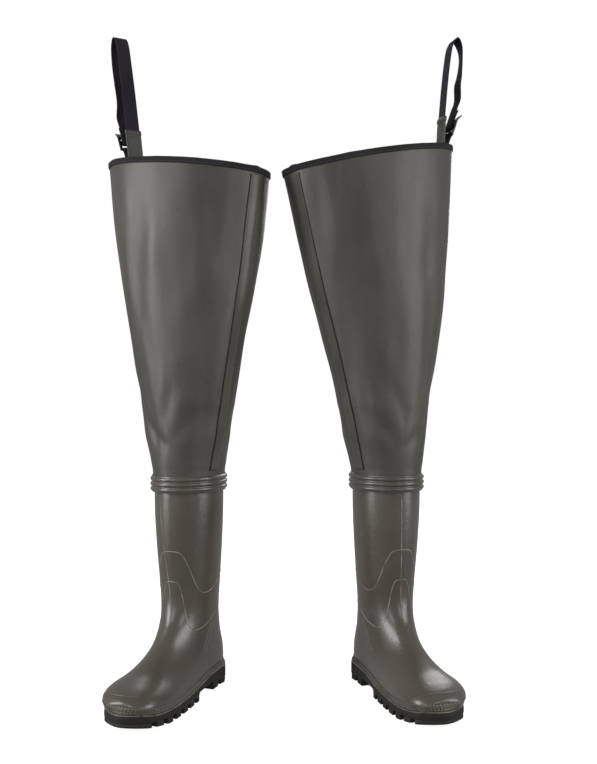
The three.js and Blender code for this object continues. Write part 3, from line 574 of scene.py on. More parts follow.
# ---------------------------------------------------------------- the boot's form
def boot_ring(at, segments, inset=0.0, floor=0.0):
    """One ring of the boot's skin in (x, u, z), drawn in by inset, and by floor more on the sole side."""
    back_u, back_z, front_u, front_z, half, square, shift = along_list(BOOT_RINGS, at)
    toeward = eased(back_u, 110, 201)
    middle = Vector(((back_u + front_u) / 2, (back_z + front_z) / 2))
    up = Vector((front_u - back_u, front_z - back_z))
    reach = up.length / 2
    up.normalize()
    ring = []
    for i in range(segments):
        c, s = math.cos(math.tau * i / segments), math.sin(math.tau * i / segments)
        power = 2 / (square if c < 0 else 2)
        sole = floor if c < 0 and square > 2.5 else 0
        along = math.copysign(abs(c) ** power * max(0.5, reach - inset - sole), c)
        across = math.copysign(abs(s) ** power * max(0.5, half - inset), s)
        u = middle.x + up.x * along - toeward * inset
        ring.append(Vector((shift + across, u, middle.y + up.y * along)))
    return ring


def boot_skin(inset=0.0, floor=0.0, drop=0.0, segments=72, step=0.125, end=16.0):
    """The rings of the boot's skin from the shaft's top, which is lowered by drop, to the toe."""
    rings = [boot_ring(i * step, segments, inset, floor) for i in range(int(end / step) + 1)]
    for point in rings[0]:
        point.z -= drop
    return rings


def on_side(side, ring):
    """A wader's own (x, u, z) on the frame's axes, before the wader is set down: toe towards -Y."""
    return [Vector((side * p.x, -p.y, p.z)) for p in ring]


def boot_form(side):
    """The boot's skin for casting lines on to."""
    bm = bmesh.new()
    loft(bm, [on_side(side, ring) for ring in boot_skin()])
    bmesh.ops.recalc_face_normals(bm, faces=bm.faces[:])
    form = BVHTree.FromBMesh(bm)
    bm.free()
    return form


def cast(form, origin, target):
    """Where a straight line from origin to target first meets the boot, and the skin's direction there."""
    way = (target - origin).normalized()
    place, normal = form.ray_cast(origin, way)[:2]
    if place is None:
        place, normal = form.find_nearest(target)[:2]
    return place, (normal if normal.dot(way) < 0 else -normal)


# Lines round the ankle, as [degrees from the toe, height].
UPPER_ARC = [
    (0, 230), (14, 227), (24, 210), (34, 186), (45, 167), (62, 161), (85, 166), (105, 175), (140, 188),
    (180, 193),
]
LOWER_ARC = [
    (0, 182), (10, 179), (16, 160), (22, 130), (30, 109), (44, 105), (74, 112), (99, 122), (140, 133),
    (180, 138),
]
HEEL_COUNTER = [(-6, 112), (8, 92), (17, 76), (27, 65), (40, 56)]  # [u, z]
TOE_LINE = [(47, 180), (40, 189), (25, 197), (0, 202)]  # [x, u]


def round_ankle(side, form, turn, z):
    """The skin's place and direction at a height, turn degrees outwards from the toe."""
    centre = Vector((0, 5, z))
    angle = math.radians(turn)
    way = Vector((side * math.sin(angle), -math.cos(angle), 0))
    return cast(form, centre + way * 300, centre)


def mould_lines(name, wader, form, place):
    """The thin raised lines of the mould: the parting line down the front, the edges of the ankle
    overlays, the heel counter and the toe cap."""
    side = wader["side"]
    runs = []
    for arc in (UPPER_ARC, LOWER_ARC):
        half = spline(arc, 8)
        both = half + [(-turn, z) for turn, z in half[-2:0:-1]]
        both.append(both[0])
        runs.append([round_ankle(side, form, turn, z) for turn, z in both])
    heights = [between(318, 112, i / 40) for i in range(41)]
    runs.append([round_ankle(side, form, wader["parting"] * eased(z, 100, 330), z) for z in heights])
    for hand in (1, -1):
        for setback in (0, 8):
            run = []
            for u, z in spline(HEEL_COUNTER, 6):
                target = Vector((0, setback - u, z - 0.2 * setback))
                run.append(cast(form, target + Vector((hand * 200, 0, 0)), target))
            runs.append(run)
    toe = [(-x, u) for x, u in TOE_LINE[:-1]] + [(x, u) for x, u in reversed(TOE_LINE)]
    above = [Vector((side * (x - 4), -u, 200)) for x, u in spline(toe, 6)]
    runs.append([cast(form, p, p - Vector((0, 0, 200))) for p in above])
    for part, rows, size, material in (
        ("overlay_lines", runs[:3], (0.8, 0.45), PVC_LINE),
        ("counter_lines", runs[3:], (0.9, 0.5), PVC),
    ):
        bm = bmesh.new()
        for run in rows:
            bead(bm, run, *size)
        rides(finished(f"{name}_{part}", bm, place, material), f"{name}_boot", SLOTS["boot"])


def bead(bm, run, half, height):
    """A low rounded ridge along a run of [place, direction] pairs. A run that ends where it starts closes."""
    looped = (run[0][0] - run[-1][0]).length < 1e-4
    rings = []
    for i, (point, out) in enumerate(run):
        before = run[i - 1] if i else run[-2 if looped else 0]
        after = run[i + 1] if i + 1 < len(run) else run[1 if looped else -1]
        way = (after[0] - before[0]).normalized()
        wide = way.cross(out).normalized()
        up = wide.cross(way)
        taper = 1.0 if looped else min(1.0, 0.25 + 0.4 * min(i, len(run) - 1 - i))
        shape = [(-1, -0.6), (-0.8, 0.35), (-0.35, 0.9), (0.35, 0.9), (0.8, 0.35), (1, -0.6)]
        rings.append([point + wide * a * half * taper + up * b * height * taper for a, b in shape])
    loft(bm, rings, looped=looped)


# ---------------------------------------------------------------- the outsole
SOLE_EDGE = 3
SOLE_RIM = 6
HEEL_BACK = -79
HEEL_HALF = 39.5
TOE_FRONT = 215
HEEL_BREAST = -4
FOREFOOT_BACK = 52
ARCH_CLEARANCE = 13
TREAD_DEPTH = 9
TREAD_PITCH = 24
TREAD_GROOVE = 9
TREAD_ROOT = 15  # the height at which the cleats run into the sole
FOREFOOT_CHANNEL = 8
HEEL_CHANNEL = 5.6
TOE_SPRING = 7
OUTLINE_STEPS = 16
# The height of the outsole's top edge from the heel to the toe, as (u, z).
SOLE_RIM_HEIGHTS = [
    (-140, 30), (-74, 30), (-34, 28), (10, 26), (60, 21), (110, 19), (150, 19), (180, 21), (201, 25),
    (240, 28),
]


def sole_outline(edge):
    """The sole's outline in (x, u) from the heel round the outer side to the toe and back."""
    rings = BOOT_RINGS[6:15]
    outer = [[shift + half + edge, u] for u, _, _, _, half, _, shift in rings]
    inner = [[shift - half - edge, u] for u, _, _, _, half, _, shift in rings]
    heel_back = HEEL_BACK - edge
    for hand, row in ((1, outer), (-1, inner)):
        row[0] = [hand * HEEL_HALF * 0.62, heel_back + 6]
        row[1] = [hand * (HEEL_HALF * 0.97 + edge), heel_back + 32]
    toe = [-8, TOE_FRONT + edge]
    return spline([[0, heel_back], *outer, toe, *reversed(inner)], OUTLINE_STEPS, closed=True)


def drawn_in(outline, distance):
    """An outline moved inwards by a distance, whichever way round it runs."""
    twice_area = sum(a[0] * b[1] - b[0] * a[1] for a, b in zip(outline, outline[1:] + outline[:1]))
    if twice_area < 0:
        distance = -distance
    count = len(outline)
    out = []
    for i, (x, u) in enumerate(outline):
        (ax, au), (bx, bu) = outline[i - 2], outline[(i + 2) % count]
        run = Vector((bx - ax, bu - au)).normalized()
        out.append((x - run.y * distance, u + run.x * distance))
    return out


def sole_rim(u):
    """Height of the outsole's top edge."""
    return looked_up(SOLE_RIM_HEIGHTS, u)[0]


def sole_bottom(u):
    """Height of the tread's face: flat on the floor, sprung up at the toe."""
    return max(0.0, (u - 150) / 50 * TOE_SPRING)


def sole_cells():
    """The cleats, as [from u, to u] pairs between the cross grooves."""
    cuts = [(HEEL_BREAST, FOREFOOT_BACK)]
    cuts += [(u - TREAD_GROOVE / 2, u + TREAD_GROOVE / 2) for u in range(67, 190, TREAD_PITCH)]
    cuts += [(u - TREAD_GROOVE / 2, u + TREAD_GROOVE / 2) for u in (-52, -28)]
    cuts.sort()
    edges = [-120] + [v for cut in cuts for v in cut] + [240]
    return list(zip(edges[::2], edges[1::2]))


def outsole(name, wader, place):
    """The outsole: a body with a stepped rim, and cleats cut from the sole's own plan."""
    side = wader["side"]
    outline = sole_outline(SOLE_EDGE)
    if (outline[4][0] - outline[0][0]) * side < 0:
        outline = outline[::-1]
    bm = bmesh.new()

    def row(distance, height, lift=0.0):
        return [Vector((side * x, -u, height(u) + lift)) for x, u in drawn_in(outline, distance)]

    def web(u):
        before_forefoot = 1 - eased(u, FOREFOOT_BACK - 2, FOREFOOT_BACK + 2)
        arch = eased(u, HEEL_BREAST - 2, HEEL_BREAST + 2) * before_forefoot
        return between(TREAD_DEPTH + 0.6 * sole_bottom(u), ARCH_CLEARANCE, arch)

    rows = [row(30, web), row(12, web), row(1.2, web), row(0.3, web, 0.6), row(0, web, 2)]
    for distance, lift in (
        (0, -2.2), (0.25, -0.9), (0.9, 0), (2.2, 0), (3.4, -1.4), (9, -6.4), (24, -6.6),
    ):
        rows.append(row(distance, sole_rim, lift))
    loft(bm, rows)
    # cleats: each is the sole's own plan, cut by two planes and bevelled
    for start, end in sole_cells():
        tread = bmesh.new()
        corners = [Vector((side * x, -u, 0)) for x, u in drawn_in(outline[::2], 0.5)]
        verts = bmesh.ops.create_circle(tread, segments=len(corners), radius=1, cap_ends=True)["verts"]
        for vert, corner in zip(verts, corners):
            vert.co = corner
        for cut, way in ((start, 1), (end, -1)):
            geom = tread.verts[:] + tread.edges[:] + tread.faces[:]
            bmesh.ops.bisect_plane(
                tread, geom=geom, dist=0.001, plane_co=(0, -cut, 0), plane_no=(0, way, 0), clear_outer=True
            )
        # the cleats at the toe and the heel's end run across the whole sole
        if 45 < start and end < 180:
            halves = bisected_halves(tread, FOREFOOT_CHANNEL)
        elif -85 < start and end < 10:
            halves = bisected_halves(tread, HEEL_CHANNEL)
        else:
            halves = [tread]
        for half in halves:
            bmesh.ops.remove_doubles(half, verts=half.verts[:], dist=0.4)
            lifted = bmesh.ops.extrude_face_region(half, geom=half.faces[:])["geom"]
            for vert in [v for v in lifted if isinstance(v, bmesh.types.BMVert)]:
                vert.co.z = TREAD_ROOT
            bmesh.ops.recalc_face_normals(half, faces=half.faces[:])
            low = [e for e in half.edges if all(v.co.z < 1 for v in e.verts) and not e.is_boundary]
            upright = [
                e
                for e in half.edges
                if abs(e.verts[0].co.z - e.verts[1].co.z) > 5 and e.calc_face_angle(0) > math.radians(35)
            ]
            bmesh.ops.bevel(
                half, geom=low + upright, offset=1.3, affect="EDGES", segments=3, profile=0.5, material=-1
            )
            for vert in half.verts:
                vert.co.z = between(sole_bottom(-vert.co.y), TREAD_ROOT, vert.co.z / TREAD_ROOT)
            mesh = bpy.data.meshes.new("cleat")
            half.to_mesh(mesh)
            bm.from_mesh(mesh)
            bpy.data.meshes.remove(mesh)
            half.free()
    sole = finished(f"{name}_cleated_sole", bm, place, SOLE)
    rides(sole, f"{name}_boot", SLOTS["sole"], f"{name}_outsole")


def bisected_halves(tread, channel):
    """A cleat's plan cut in two by the lengthwise channel."""
    halves = []
    for way in (1, -1):
        half = tread.copy()
        geom = half.verts[:] + half.edges[:] + half.faces[:]
        bmesh.ops.bisect_plane(
            half, geom=geom, dist=0.001, plane_co=(way * channel, 0, 0), plane_no=(-way, 0, 0),
            clear_outer=True,
        )
        halves.append(half)
    tread.free()
    return halves


def rand(name, wader, form, place):
    """The stippled band round the foot above the outsole, and the pale weld line along its lower edge."""
    side = wader["side"]
    outline = sole_outline(8)[::2]
    inner = drawn_in(outline, 40)
    sole_edge = sole_outline(SOLE_EDGE)
    rim_edge = drawn_in(sole_edge, 1.5)[::2]
    levels = []
    for share in (0.0, 0.2, 0.45, 0.7, 1.0):
        ring = []
        for (x, u), (ix, iu), (ex, eu) in zip(outline, inner, rim_edge):
            z = sole_rim(u) + 0.2 + between(5.5, 10.5, eased(u, 80, 175)) * share
            skin, normal = cast(form, Vector((side * x, -u, z)), Vector((side * ix, -iu, z)))
            edge = Vector((side * ex, -eu, z))
            ring.append((edge.lerp(skin + normal * 0.7, share**0.7), normal))
        levels.append(ring)
    rings = [[point for point, _ in ring] for ring in levels]
    rings += [[point - normal * 1.4 for point, normal in levels[i]] for i in (4, 0)]
    bm = bmesh.new()
    loft(bm, rings + rings[:1], looped=True)
    rides(finished(f"{name}_toe_rand", bm, place, STIPPLE), f"{name}_boot", SLOTS["boot"])
    bm = bmesh.new()
    run = []
    for (x, u), (ix, iu) in zip(drawn_in(sole_edge, 0.8), drawn_in(sole_edge, 2)):
        out = Vector((side * (x - ix), iu - u, 0)).normalized() + Vector((0, 0, 1))
        run.append((Vector((side * x, -u, sole_rim(u) + 0.1)), out.normalized()))
    bead(bm, run + run[:1], 0.6, 0.5)
    rides(finished(f"{name}_weld_line", bm, place, PVC_LINE), f"{name}_boot", SLOTS["boot"])


# ---------------------------------------------------------------- the cloth leg
def rise_at(wader, z):
    """The share of the way from the shaft's top to the rim."""
    return max(0.0, z - SHAFT_TOP - 2) / (wader["rim_mid"] - SHAFT_TOP - 2)


def sleeve_size(wader, z):
    """The leg's half width and half depth at a height."""
    across, deep = looked_up(SLEEVE_RINGS, max(HEM, z))
    flat = between(1, wader["flat"], rise_at(wader, z))
    return across * flat, deep / flat


# Dents and creases of each leg: [degrees forwards from the outer side, height, half spread in degrees,
# half height, depth in mm, degrees of slant for each 100 mm up].
CREASES = {
    "right": [
        (52, 428, 9, 40, 4.2, -45), (78, 402, 12, 26, 2.8, -80), (33, 475, 8, 50, 2.8, -25),
        (112, 425, 13, 34, 2.4, 45), (94, 470, 10, 44, 2.2, 20), (140, 440, 12, 36, 2.4, 20),
        (240, 440, 24, 30, 3.0, 40), (290, 415, 22, 26, 2.4, -50), (66, 690, 9, 130, 2.6, 6),
        (128, 760, 8, 90, 1.8, -5), (250, 650, 20, 120, 4.0, 6), (205, 560, 14, 120, 3.0, -6),
        (30, 800, 8, 90, 2.0, 4),
    ],
    "left": [
        (48, 425, 9, 40, 3.6, -40), (76, 402, 12, 26, 2.6, -75), (25, 470, 9, 48, 3.0, -25),
        (116, 420, 12, 34, 2.6, 50), (98, 472, 10, 44, 2.0, 25), (146, 760, 8, 90, 4.4, -7),
        (130, 800, 6, 70, 2.4, -5), (60, 640, 12, 110, 2.4, 5), (240, 445, 24, 30, 3.0, 40),
        (290, 412, 22, 26, 2.4, -50), (255, 660, 20, 120, 4.0, -6), (100, 560, 16, 90, 1.8, 3),
    ],
}


def cloth_relief(name, wader, turn, z):
    """How far the hanging cloth stands out of its plain cone there: long soft waves, and creases over the
    knee where it settles on the boot."""
    if z <= SHAFT_TOP + 6:
        return 0.0
    angle = math.radians(turn)
    seed = wader["seed"]
    free = eased(z, SHAFT_TOP + 8, 420)
    bound = 1 - 0.6 * eased(z, wader["rim_mid"] - 90, wader["rim_mid"] + 10)
    wide = noise.noise(Vector((1.6 * math.cos(angle) + seed, 1.6 * math.sin(angle), z / 170)))
    small = noise.noise(Vector((4.0 * math.cos(angle), 4.0 * math.sin(angle) + seed, z / 70)))
    out = free * bound * (4.6 * wide + 1.3 * small)
    for at, height, spread, tall, depth, slant in CREASES[name]:
        up = (z - height) / tall
        aside = ((turn - at - slant * (z - height) / 100 + 180) % 360 - 180) / spread
        weight = math.exp(-(up * up + aside * aside))
        out -= free * depth * weight * (1 - 0.55 * up * up)
    return out


def cone_point(wader, turn, z, out=0.0):
    """A point on the leg's plain cone, or out from it, turn degrees forwards from the outer side."""
    across, deep = sleeve_size(wader, z)
    angle = math.radians(turn)
    x = wader["lean"] * rise_at(wader, z) ** 1.5 + (across + out) * math.cos(angle)
    u = HEM_MIDDLE + (deep + out) * math.sin(angle)
    return Vector((wader["side"] * x, -u, z))


def sleeve_point(name, wader, turn, z, out=0.0):
    """The same on the hanging cloth, with its waves and creases."""
    return cone_point(wader, turn, z, out + cloth_relief(name, wader, turn, z))


def degrees_per_mm(wader, turn, z):
    """How many degrees round the leg one millimetre of cloth takes up there."""
    across, deep = sleeve_size(wader, z)
    angle = math.radians(turn)
    return math.degrees(1 / math.hypot(across * math.sin(angle), deep * math.cos(angle)))


def rim_height(wader, turn):
    """The height of the sloping rim, turn degrees forwards from the outer side."""
    across, _ = sleeve_size(wader, wader["rim_mid"])
    return wader["rim_mid"] + wader["rim_slope"] * across * math.cos(math.radians(turn))


def leg_height(wader, turn, level):
    """A height by level: below 0 the distance down from KNEE_TOP, and from 0 to 1 the way to the rim."""
    if level < 0:
        return KNEE_TOP + level
    return between(KNEE_TOP, rim_height(wader, turn), level)


KNEE_START = KNEE_TOP - HEM
LEVELS = [-KNEE_START + 4.0 * i for i in range(int(KNEE_START / 4))] + [i / 90 for i in range(91)]
LEG_COLUMNS = 168


def flat_area(wader):
    """The cloth's cut area, from the leg's girth height by height, and its girth at the rim."""
    total, girth_was, z_was = 0.0, None, None
    for i in range(60):
        z = between(HEM, wader["rim_mid"], i / 59)
        across, deep = sleeve_size(wader, z)
        girth = math.pi * (3 * (across + deep) - math.sqrt((3 * across + deep) * (across + 3 * deep)))
        if girth_was:
            total += (girth + girth_was) / 2 * (z - z_was)
        girth_was, z_was = girth, z
    return total * MM * MM, girth_was * MM


def across_knee(name, obj, place, *nodes):
    """Bakes a piece of cloth that spans the knee into place, hiding the frame's plain nodes."""
    ends = [place @ Vector((0, -HEM_MIDDLE, z)) for z in (KNEE_LOW, KNEE_TOP)]
    bends(obj, (f"{name}_boot", f"{name}_leg"), ends, SLOTS["cloth"], *nodes)


def cloth_leg(name, wader, place):
    """The cloth of the leg, from its hem inside the collar to the rim."""
    bm = bmesh.new()
    rings = [
        [
            sleeve_point(name, wader, 360 * i / LEG_COLUMNS, leg_height(wader, 360 * i / LEG_COLUMNS, level))
            for i in range(LEG_COLUMNS)
        ]
        for level in LEVELS
    ]
    loft(bm, rings, caps=False)
    leg = walled(finished(f"{name}_cloth_leg", bm, place, CLOTH), SLEEVE_WALL)
    across_knee(name, leg, place, f"{name}_sleeve_knee", f"{name}_sleeve_thigh")
    return leg


def welded_seam(name, wader, place):
    """The strip of tape over the leg's seam, with pressed edges."""
    bm = bmesh.new()
    stop = 1 - SEAM_END / (rim_height(wader, SEAM_AT) - KNEE_TOP)
    levels = [v for v in LEVELS if v > SHAFT_TOP + 6 - KNEE_TOP and v < stop] + [stop]
    half = SEAM_WIDTH / 2
    shape = [
        (-half, 0.25), (-half * 0.5, 0.25), (0, 0.25), (half * 0.5, 0.25), (half, 0.25), (half - 0.2, 0.8),
        (half - 0.9, 1.0), (half * 0.5, 0.98), (0, 0.98), (-half + 3.2, 0.98), (-half + 2.6, 1.25),
        (-half + 1.2, 1.55), (-half + 0.3, 1.2),
    ]
    rings = []
    for level in levels:
        each = degrees_per_mm(wader, SEAM_AT, leg_height(wader, SEAM_AT, level))
        ring = []
        for aside, out in shape:
            turn = SEAM_AT + aside * each
            ring.append(sleeve_point(name, wader, turn, leg_height(wader, turn, level), out))
        rings.append(ring)
    offsets = [aside + half for aside, _ in shape]
    loft(bm, rings, across=offsets + offsets[:1])
    tape = finished(f"{name}_welded_seam", bm, place, TAPE)
    across_knee(name, tape, place, f"{name}_seam_tape_knee", f"{name}_seam_tape_thigh")


def rim_point(name, wader, turn, out, rise):
    """A point out from the leg and up from the rim."""
    rim = rim_height(wader, turn)
    point = sleeve_point(name, wader, turn, min(rim, rim + rise), out)
    point.z = rim + rise
    return point


def seam_lump(turn):
    """How much of the lump where the binding runs over the seam stands there, from 0 to 1."""
    return math.exp(-(((turn - SEAM_AT) / 4.5) ** 2))


def bound_rim(name, wader, place):
    """Tape folded over the leg's cut edge, thicker over the seam, and its two rows of stitches."""
    profile = [
        (0.3, -7.6), (0.5, -8.1), (1.2, -8.1), (1.55, -7.4), (1.5, -4), (1.5, -0.6), (1.15, 0.6), (0.4, 1.4),
        (-0.5, 1.65), (-1.4, 1.4), (-2.2, 0.6), (-2.5, -0.6), (-2.5, -5), (-2.55, -7.4), (-2.2, -8.1),
        (-1.5, -8.1), (-1.3, -7.6), (-1.3, -0.2), (-0.5, 0.2), (0.3, -0.2),
    ]
    columns = 180
    rings = []
    for i in range(columns + 1):
        turn = 360 * (i % columns) / columns
        lump = seam_lump(turn)
        ring = []
        for out, rise in profile:
            wave = 0.35 * noise.noise(Vector((turn / 7, wader["seed"], 0)))
            grown = out + (0.9 * lump if out > 1 else 0)
            lifted = rise + (1.6 * lump if rise > 0.5 else 0) + (wave if rise > 0 else 0)
            ring.append(rim_point(name, wader, turn, grown, lifted))
        rings.append(ring)
    offsets = [0.0]
    for (a, b), (c, d) in zip(profile, profile[1:] + profile[:1]):
        offsets.append(offsets[-1] + math.hypot(c - a, d - b))
    bm = bmesh.new()
    loft(bm, rings, across=offsets, looped=True)
    tape = finished(f"{name}_bound_rim", bm, place, BINDING)
    rides(tape, f"{name}_leg", SLOTS["binding"], f"{name}_top_binding")
    bm = bmesh.new()
    for out, rise in ((1.6, -5.8), (-2.62, -5.8)):
        line = []
        for i in range(1200):
            turn = 360 * i / 1200
            line.append(rim_point(name, wader, turn, out + (0.9 * seam_lump(turn) if out > 1 else 0), rise))
        stitches(bm, line, *RIM_STITCH)
    row = finished(f"{name}_rim_stitching", bm, place, GREY_THREAD)
    rides(row, f"{name}_leg", SLOTS["binding"])
    return tape, row


def ribbed_collar(name, wader, place):
    """Three rounded ribs on a band over the joint of leg and shaft."""
    bottom = HEM - 2
    profile = [(0.6, bottom), (1.5, bottom), (2.0, bottom + 0.7)]
    for rib in range(COLLAR_RIBS):
        middle = bottom + 1 + RIB_PITCH * (rib + 0.5)
        for k in range(9):
            share = k / 8 * 2 - 1
            profile.append((2.0 + 2.4 * math.sqrt(max(0.0, 1 - share * share)), middle + 3.1 * share))
    top = bottom + COLLAR_HEIGHT
    profile += [(2.0, top - 0.7), (1.5, top), (0.6, top)]
    columns = 120
    rings = []
    for out, z in profile:
        ring = []
        for i in range(columns):
            point = sleeve_point(name, wader, 360 * i / columns, SHAFT_TOP, out)
            tilt = wader["collar_tilt"] * 0.35 * point.x
            point.z = z + tilt * (bottom + 0.5 < z < top - 0.5)
            ring.append(point)
        rings.append(ring)
    bm = bmesh.new()
    loft(bm, rings + rings[:1], looped=True)
    collar = finished(f"{name}_ribbed_collar", bm, place, PVC)
    rides(collar, f"{name}_boot", SLOTS["boot"], f"{name}_collar_band")


# ---------------------------------------------------------------- the belt strap
def strap_frame(wader):
    """The strap's frame on the rim: n outwards, h up and across along the rim."""
    angle = math.radians(wader["at"])
    across, deep = sleeve_size(wader, wader["rim_mid"])
    out = Vector((wader["side"] * deep * math.cos(angle), -across * math.sin(angle), 0)).normalized()
    up = Vector((0, 0, 1))
    matrix = Matrix((out, up, out.cross(up))).transposed().to_4x4()
    matrix.translation = cone_point(wader, wader["at"], rim_height(wader, wader["at"]))
    return matrix


def free_frame(wader):
    """What the strap's own lean does to the part above its fold."""
    turn = Matrix.Rotation(math.radians(wader["turn"] * wader["side"]), 4, "X")
    lean = Matrix.Rotation(math.radians(-wader["loop_lean"]), 4, "Z")
    at = Matrix.Translation((TAB_AT, FOLD_ROOM, 0))
    return at @ turn @ lean @ at.inverted()


def on_tab(n, h):
    """A point along and across the tilted tab, from the strap's fold, in the strap's own (n, h)."""
    tilt = math.radians(BUCKLE_TILT)
    across = n * math.cos(tilt) + h * math.sin(tilt)
    return (TAB_AT + across, FOLD_ROOM + h * math.cos(tilt) - n * math.sin(tilt))


STRAND_SKIN = -BUCKLE_PLATE / 2 - GAP - WEBBING_THICKNESS / 2
LOAD_STRAND = STRAND_SKIN - LAYER
STRAP_FOOT = -52.0
PATCH_STANDOFF = 5.0  # from the leg's inner face to the webbing: gaps, patch and the curve under a flat band
SEWN_WALL = -SLEEVE_WALL - PATCH_STANDOFF - WEBBING_THICKNESS


def leg_line(h):
    """The loop's foot over the rim, in the strap's own (n, h)."""
    return (LEG_AT + 0.015 * (h - FOLD_ROOM), h)


def wall_slope(wader):
    """How far outwards the leg's wall leans under the strap, for each millimetre up."""
    rim = rim_height(wader, wader["at"])
    high, low = (cone_point(wader, wader["at"], z) for z in (rim, rim - PATCH_REACH))
    out = strap_frame(wader).to_3x3().col[0]
    return (high - low).dot(out) / PATCH_REACH


def sewn_end(wader, layer):
    """The part of a strap below the rim, from its sewn foot up, lying against the patch."""
    slope = wall_slope(wader)
    return [(SEWN_WALL + layer + slope * h, h) for h in (STRAP_FOOT, STRAP_FOOT + 8, STRAP_FOOT + 16)]


def strap_paths(wader):
    """Centre lines of the strap in its own (n, h): the belt loop, the strand through the buckle, and the
    tab that holds the buckle."""
    top, rise = wader["height"], wader["rise"]
    hinge = BUCKLE_HINGE + rise
    above = hinge + STRAND_TOP + 2 * GAP

    def n(out):
        return LEG_AT + out

    low = sewn_end(wader, -LAYER)
    low[2] = (low[2][0] - 2.0, low[2][1])
    start = spline([*low, (LEG_AT + 0.4, -16), (LEG_AT, -6), leg_line(FOLD_ROOM)], 6)
    sheath = [leg_line(between(FOLD_ROOM, SHEATH_TOP + rise + 2, i / 14)) for i in range(1, 14)]
    low_end = [on_tab(LOAD_STRAND, above + 14), on_tab(LOAD_STRAND, above)]
    waist = max(0.5 * top, low_end[0][1] + 24)
    loop_points = [
        leg_line(SHEATH_TOP + rise + 2), (n(3), 0.55 * top), (n(6), 0.77 * top), (n(10), top - 14),
        (n(19), top), (n(28), top - 12), (n(31), 0.83 * top), (n(29.5), max(0.68 * top, waist + 18)),
        (n(27), waist), *low_end,
    ]
    loop = spline(loop_points, LOOP_STEPS)
    low_bar, high_bar = CROSS_BAR
    front = -STRAND_SKIN + 0.2
    step = GAP + WEBBING_THICKNESS / 2
    threaded = [
        (LOAD_STRAND, STRAND_TOP - 6), (LOAD_STRAND, low_bar + 1), (LOAD_STRAND + 1, low_bar - step - 0.4),
        (0, low_bar - step - 1.2), (front - 0.6, low_bar - step - 0.2), (front, low_bar + 0.8),
        (front, high_bar - 0.4), (front - 1, high_bar + step + 0.3), (0, high_bar + step + 0.8),
        (STRAND_SKIN - 0.1, high_bar + step + 2.6), (STRAND_SKIN - 0.1, BUCKLE_LENGTH),
        (STRAND_SKIN + 1, BUCKLE_LENGTH + TAIL_REACH),
    ]
    tail = spline([on_tab(a, hinge + h) for a, h in threaded], 6)
    whole = start + sheath + loop + tail
    cut_height = hinge + STRAND_CUT
    crown = len(start) + len(sheath) + LOOP_STEPS * 5
    cut = next(i for i in range(crown, len(whole)) if along_tab(whole[i]) < cut_height)
    around = 1.8 + GAP + WEBBING_THICKNESS / 2  # the tab's turn round the buckle's first bar
    half = LAYER / 2
    bend = [
        (around * math.cos(math.radians(a)), hinge + around * math.sin(math.radians(a)))
        for a in range(230, -51, -20)
    ]
    up = [on_tab(-half, h) for h in (0, 5, hinge - 12, hinge - 7)] + [on_tab(a, h) for a, h in bend]
    up += [on_tab(half, h) for h in (hinge - 7, hinge - 12, 5, 0)]
    back, fore = (sewn_end(wader, hand * half) for hand in (-1, 1))
    tab = [*back, (TAB_AT - half, -6)] + up + [(TAB_AT + half, -6), *reversed(fore)]
    return whole, cut, spline(tab, 5), hinge


def along_tab(point):
    """How far along the tilted tab a point of the strap lies."""
    tilt = math.radians(BUCKLE_TILT)
    n, h = point[0] - TAB_AT, point[1] - FOLD_ROOM
    return h * math.cos(tilt) + n * math.sin(tilt)


def placed_path(wader, points):
    """Strap points as places and width directions on the wader, the free part leaning as the loop does."""
    base, free = strap_frame(wader), free_frame(wader)
    leaning = base @ free
    path, widths = [], []
    for n, h in points:
        share = eased(h, -FOLD_ROOM, FOLD_ROOM)
        flat = Vector((n, h, 0))
        path.append((base @ flat).lerp(leaning @ flat, share))
        wide = base.to_3x3().col[2].lerp(leaning.to_3x3().col[2], share)
        widths.append(wide.normalized())
    return path, widths


def belt_strap(name, wader, place):
    """The webbing: the loop with its sewn foot, the strand through the buckle and the buckle's tab."""
    whole, cut, tab, hinge = strap_paths(wader)
    path, widths = placed_path(wader, whole)
    count = len(path)
    crown = max(range(count), key=lambda i: path[i].z)
    for i in range(crown, cut):
        share = (i - crown) / (cut - crown)
        run = (path[i + 1] - path[i - 1]).normalized()
        twist = wader["twist"] * math.sin(math.pi * share) ** 2
        widths[i] = Matrix.Rotation(math.radians(twist), 3, run) @ widths[i]
    base = strap_frame(wader)
    fold = [place @ (base @ Vector((TAB_AT, h, 0))) for h in (-FOLD_ROOM, FOLD_ROOM)]
    bands = []
    for part, stretch in (("belt_loop", slice(0, cut + 1)), ("buckle_strand", slice(cut, count))):
        bm = bmesh.new()
        rings, across = ribbon_rings(path[stretch], widths[stretch], WEBBING_WIDTH - 0.3, WEBBING_THICKNESS)
        loft(bm, rings, across=across)
        bands.append(finished(f"{name}_{part}", bm, place, WEBBING))
    loop, strand = bands
    at_rim = (f"{name}_leg", f"{name}_strap")
    loop_nodes = [f"{name}_{node}" for node in ("strap_webbing", "leg_fold", "strap_anchor")]
    bends(loop, at_rim, fold, SLOTS["webbing"], *loop_nodes)
    leaning = base @ free_frame(wader)
    ends = [place @ (leaning @ Vector((*on_tab(LOAD_STRAND, hinge + h), 0))) for h in STRAND_BEND]
    bends(strand, (f"{name}_strap", f"{name}_buckle"), ends, SLOTS["webbing"], f"{name}_strap_tail")
    bm = bmesh.new()
    path, widths = placed_path(wader, tab)
    rings, across = ribbon_rings(path, widths, WEBBING_WIDTH - 0.6, WEBBING_THICKNESS)
    loft(bm, rings, across=across)
    holder = finished(f"{name}_buckle_loop", bm, place, WEBBING)
    bends(holder, at_rim, fold, SLOTS["webbing"], f"{name}_buckle_tab", f"{name}_tab_fold")


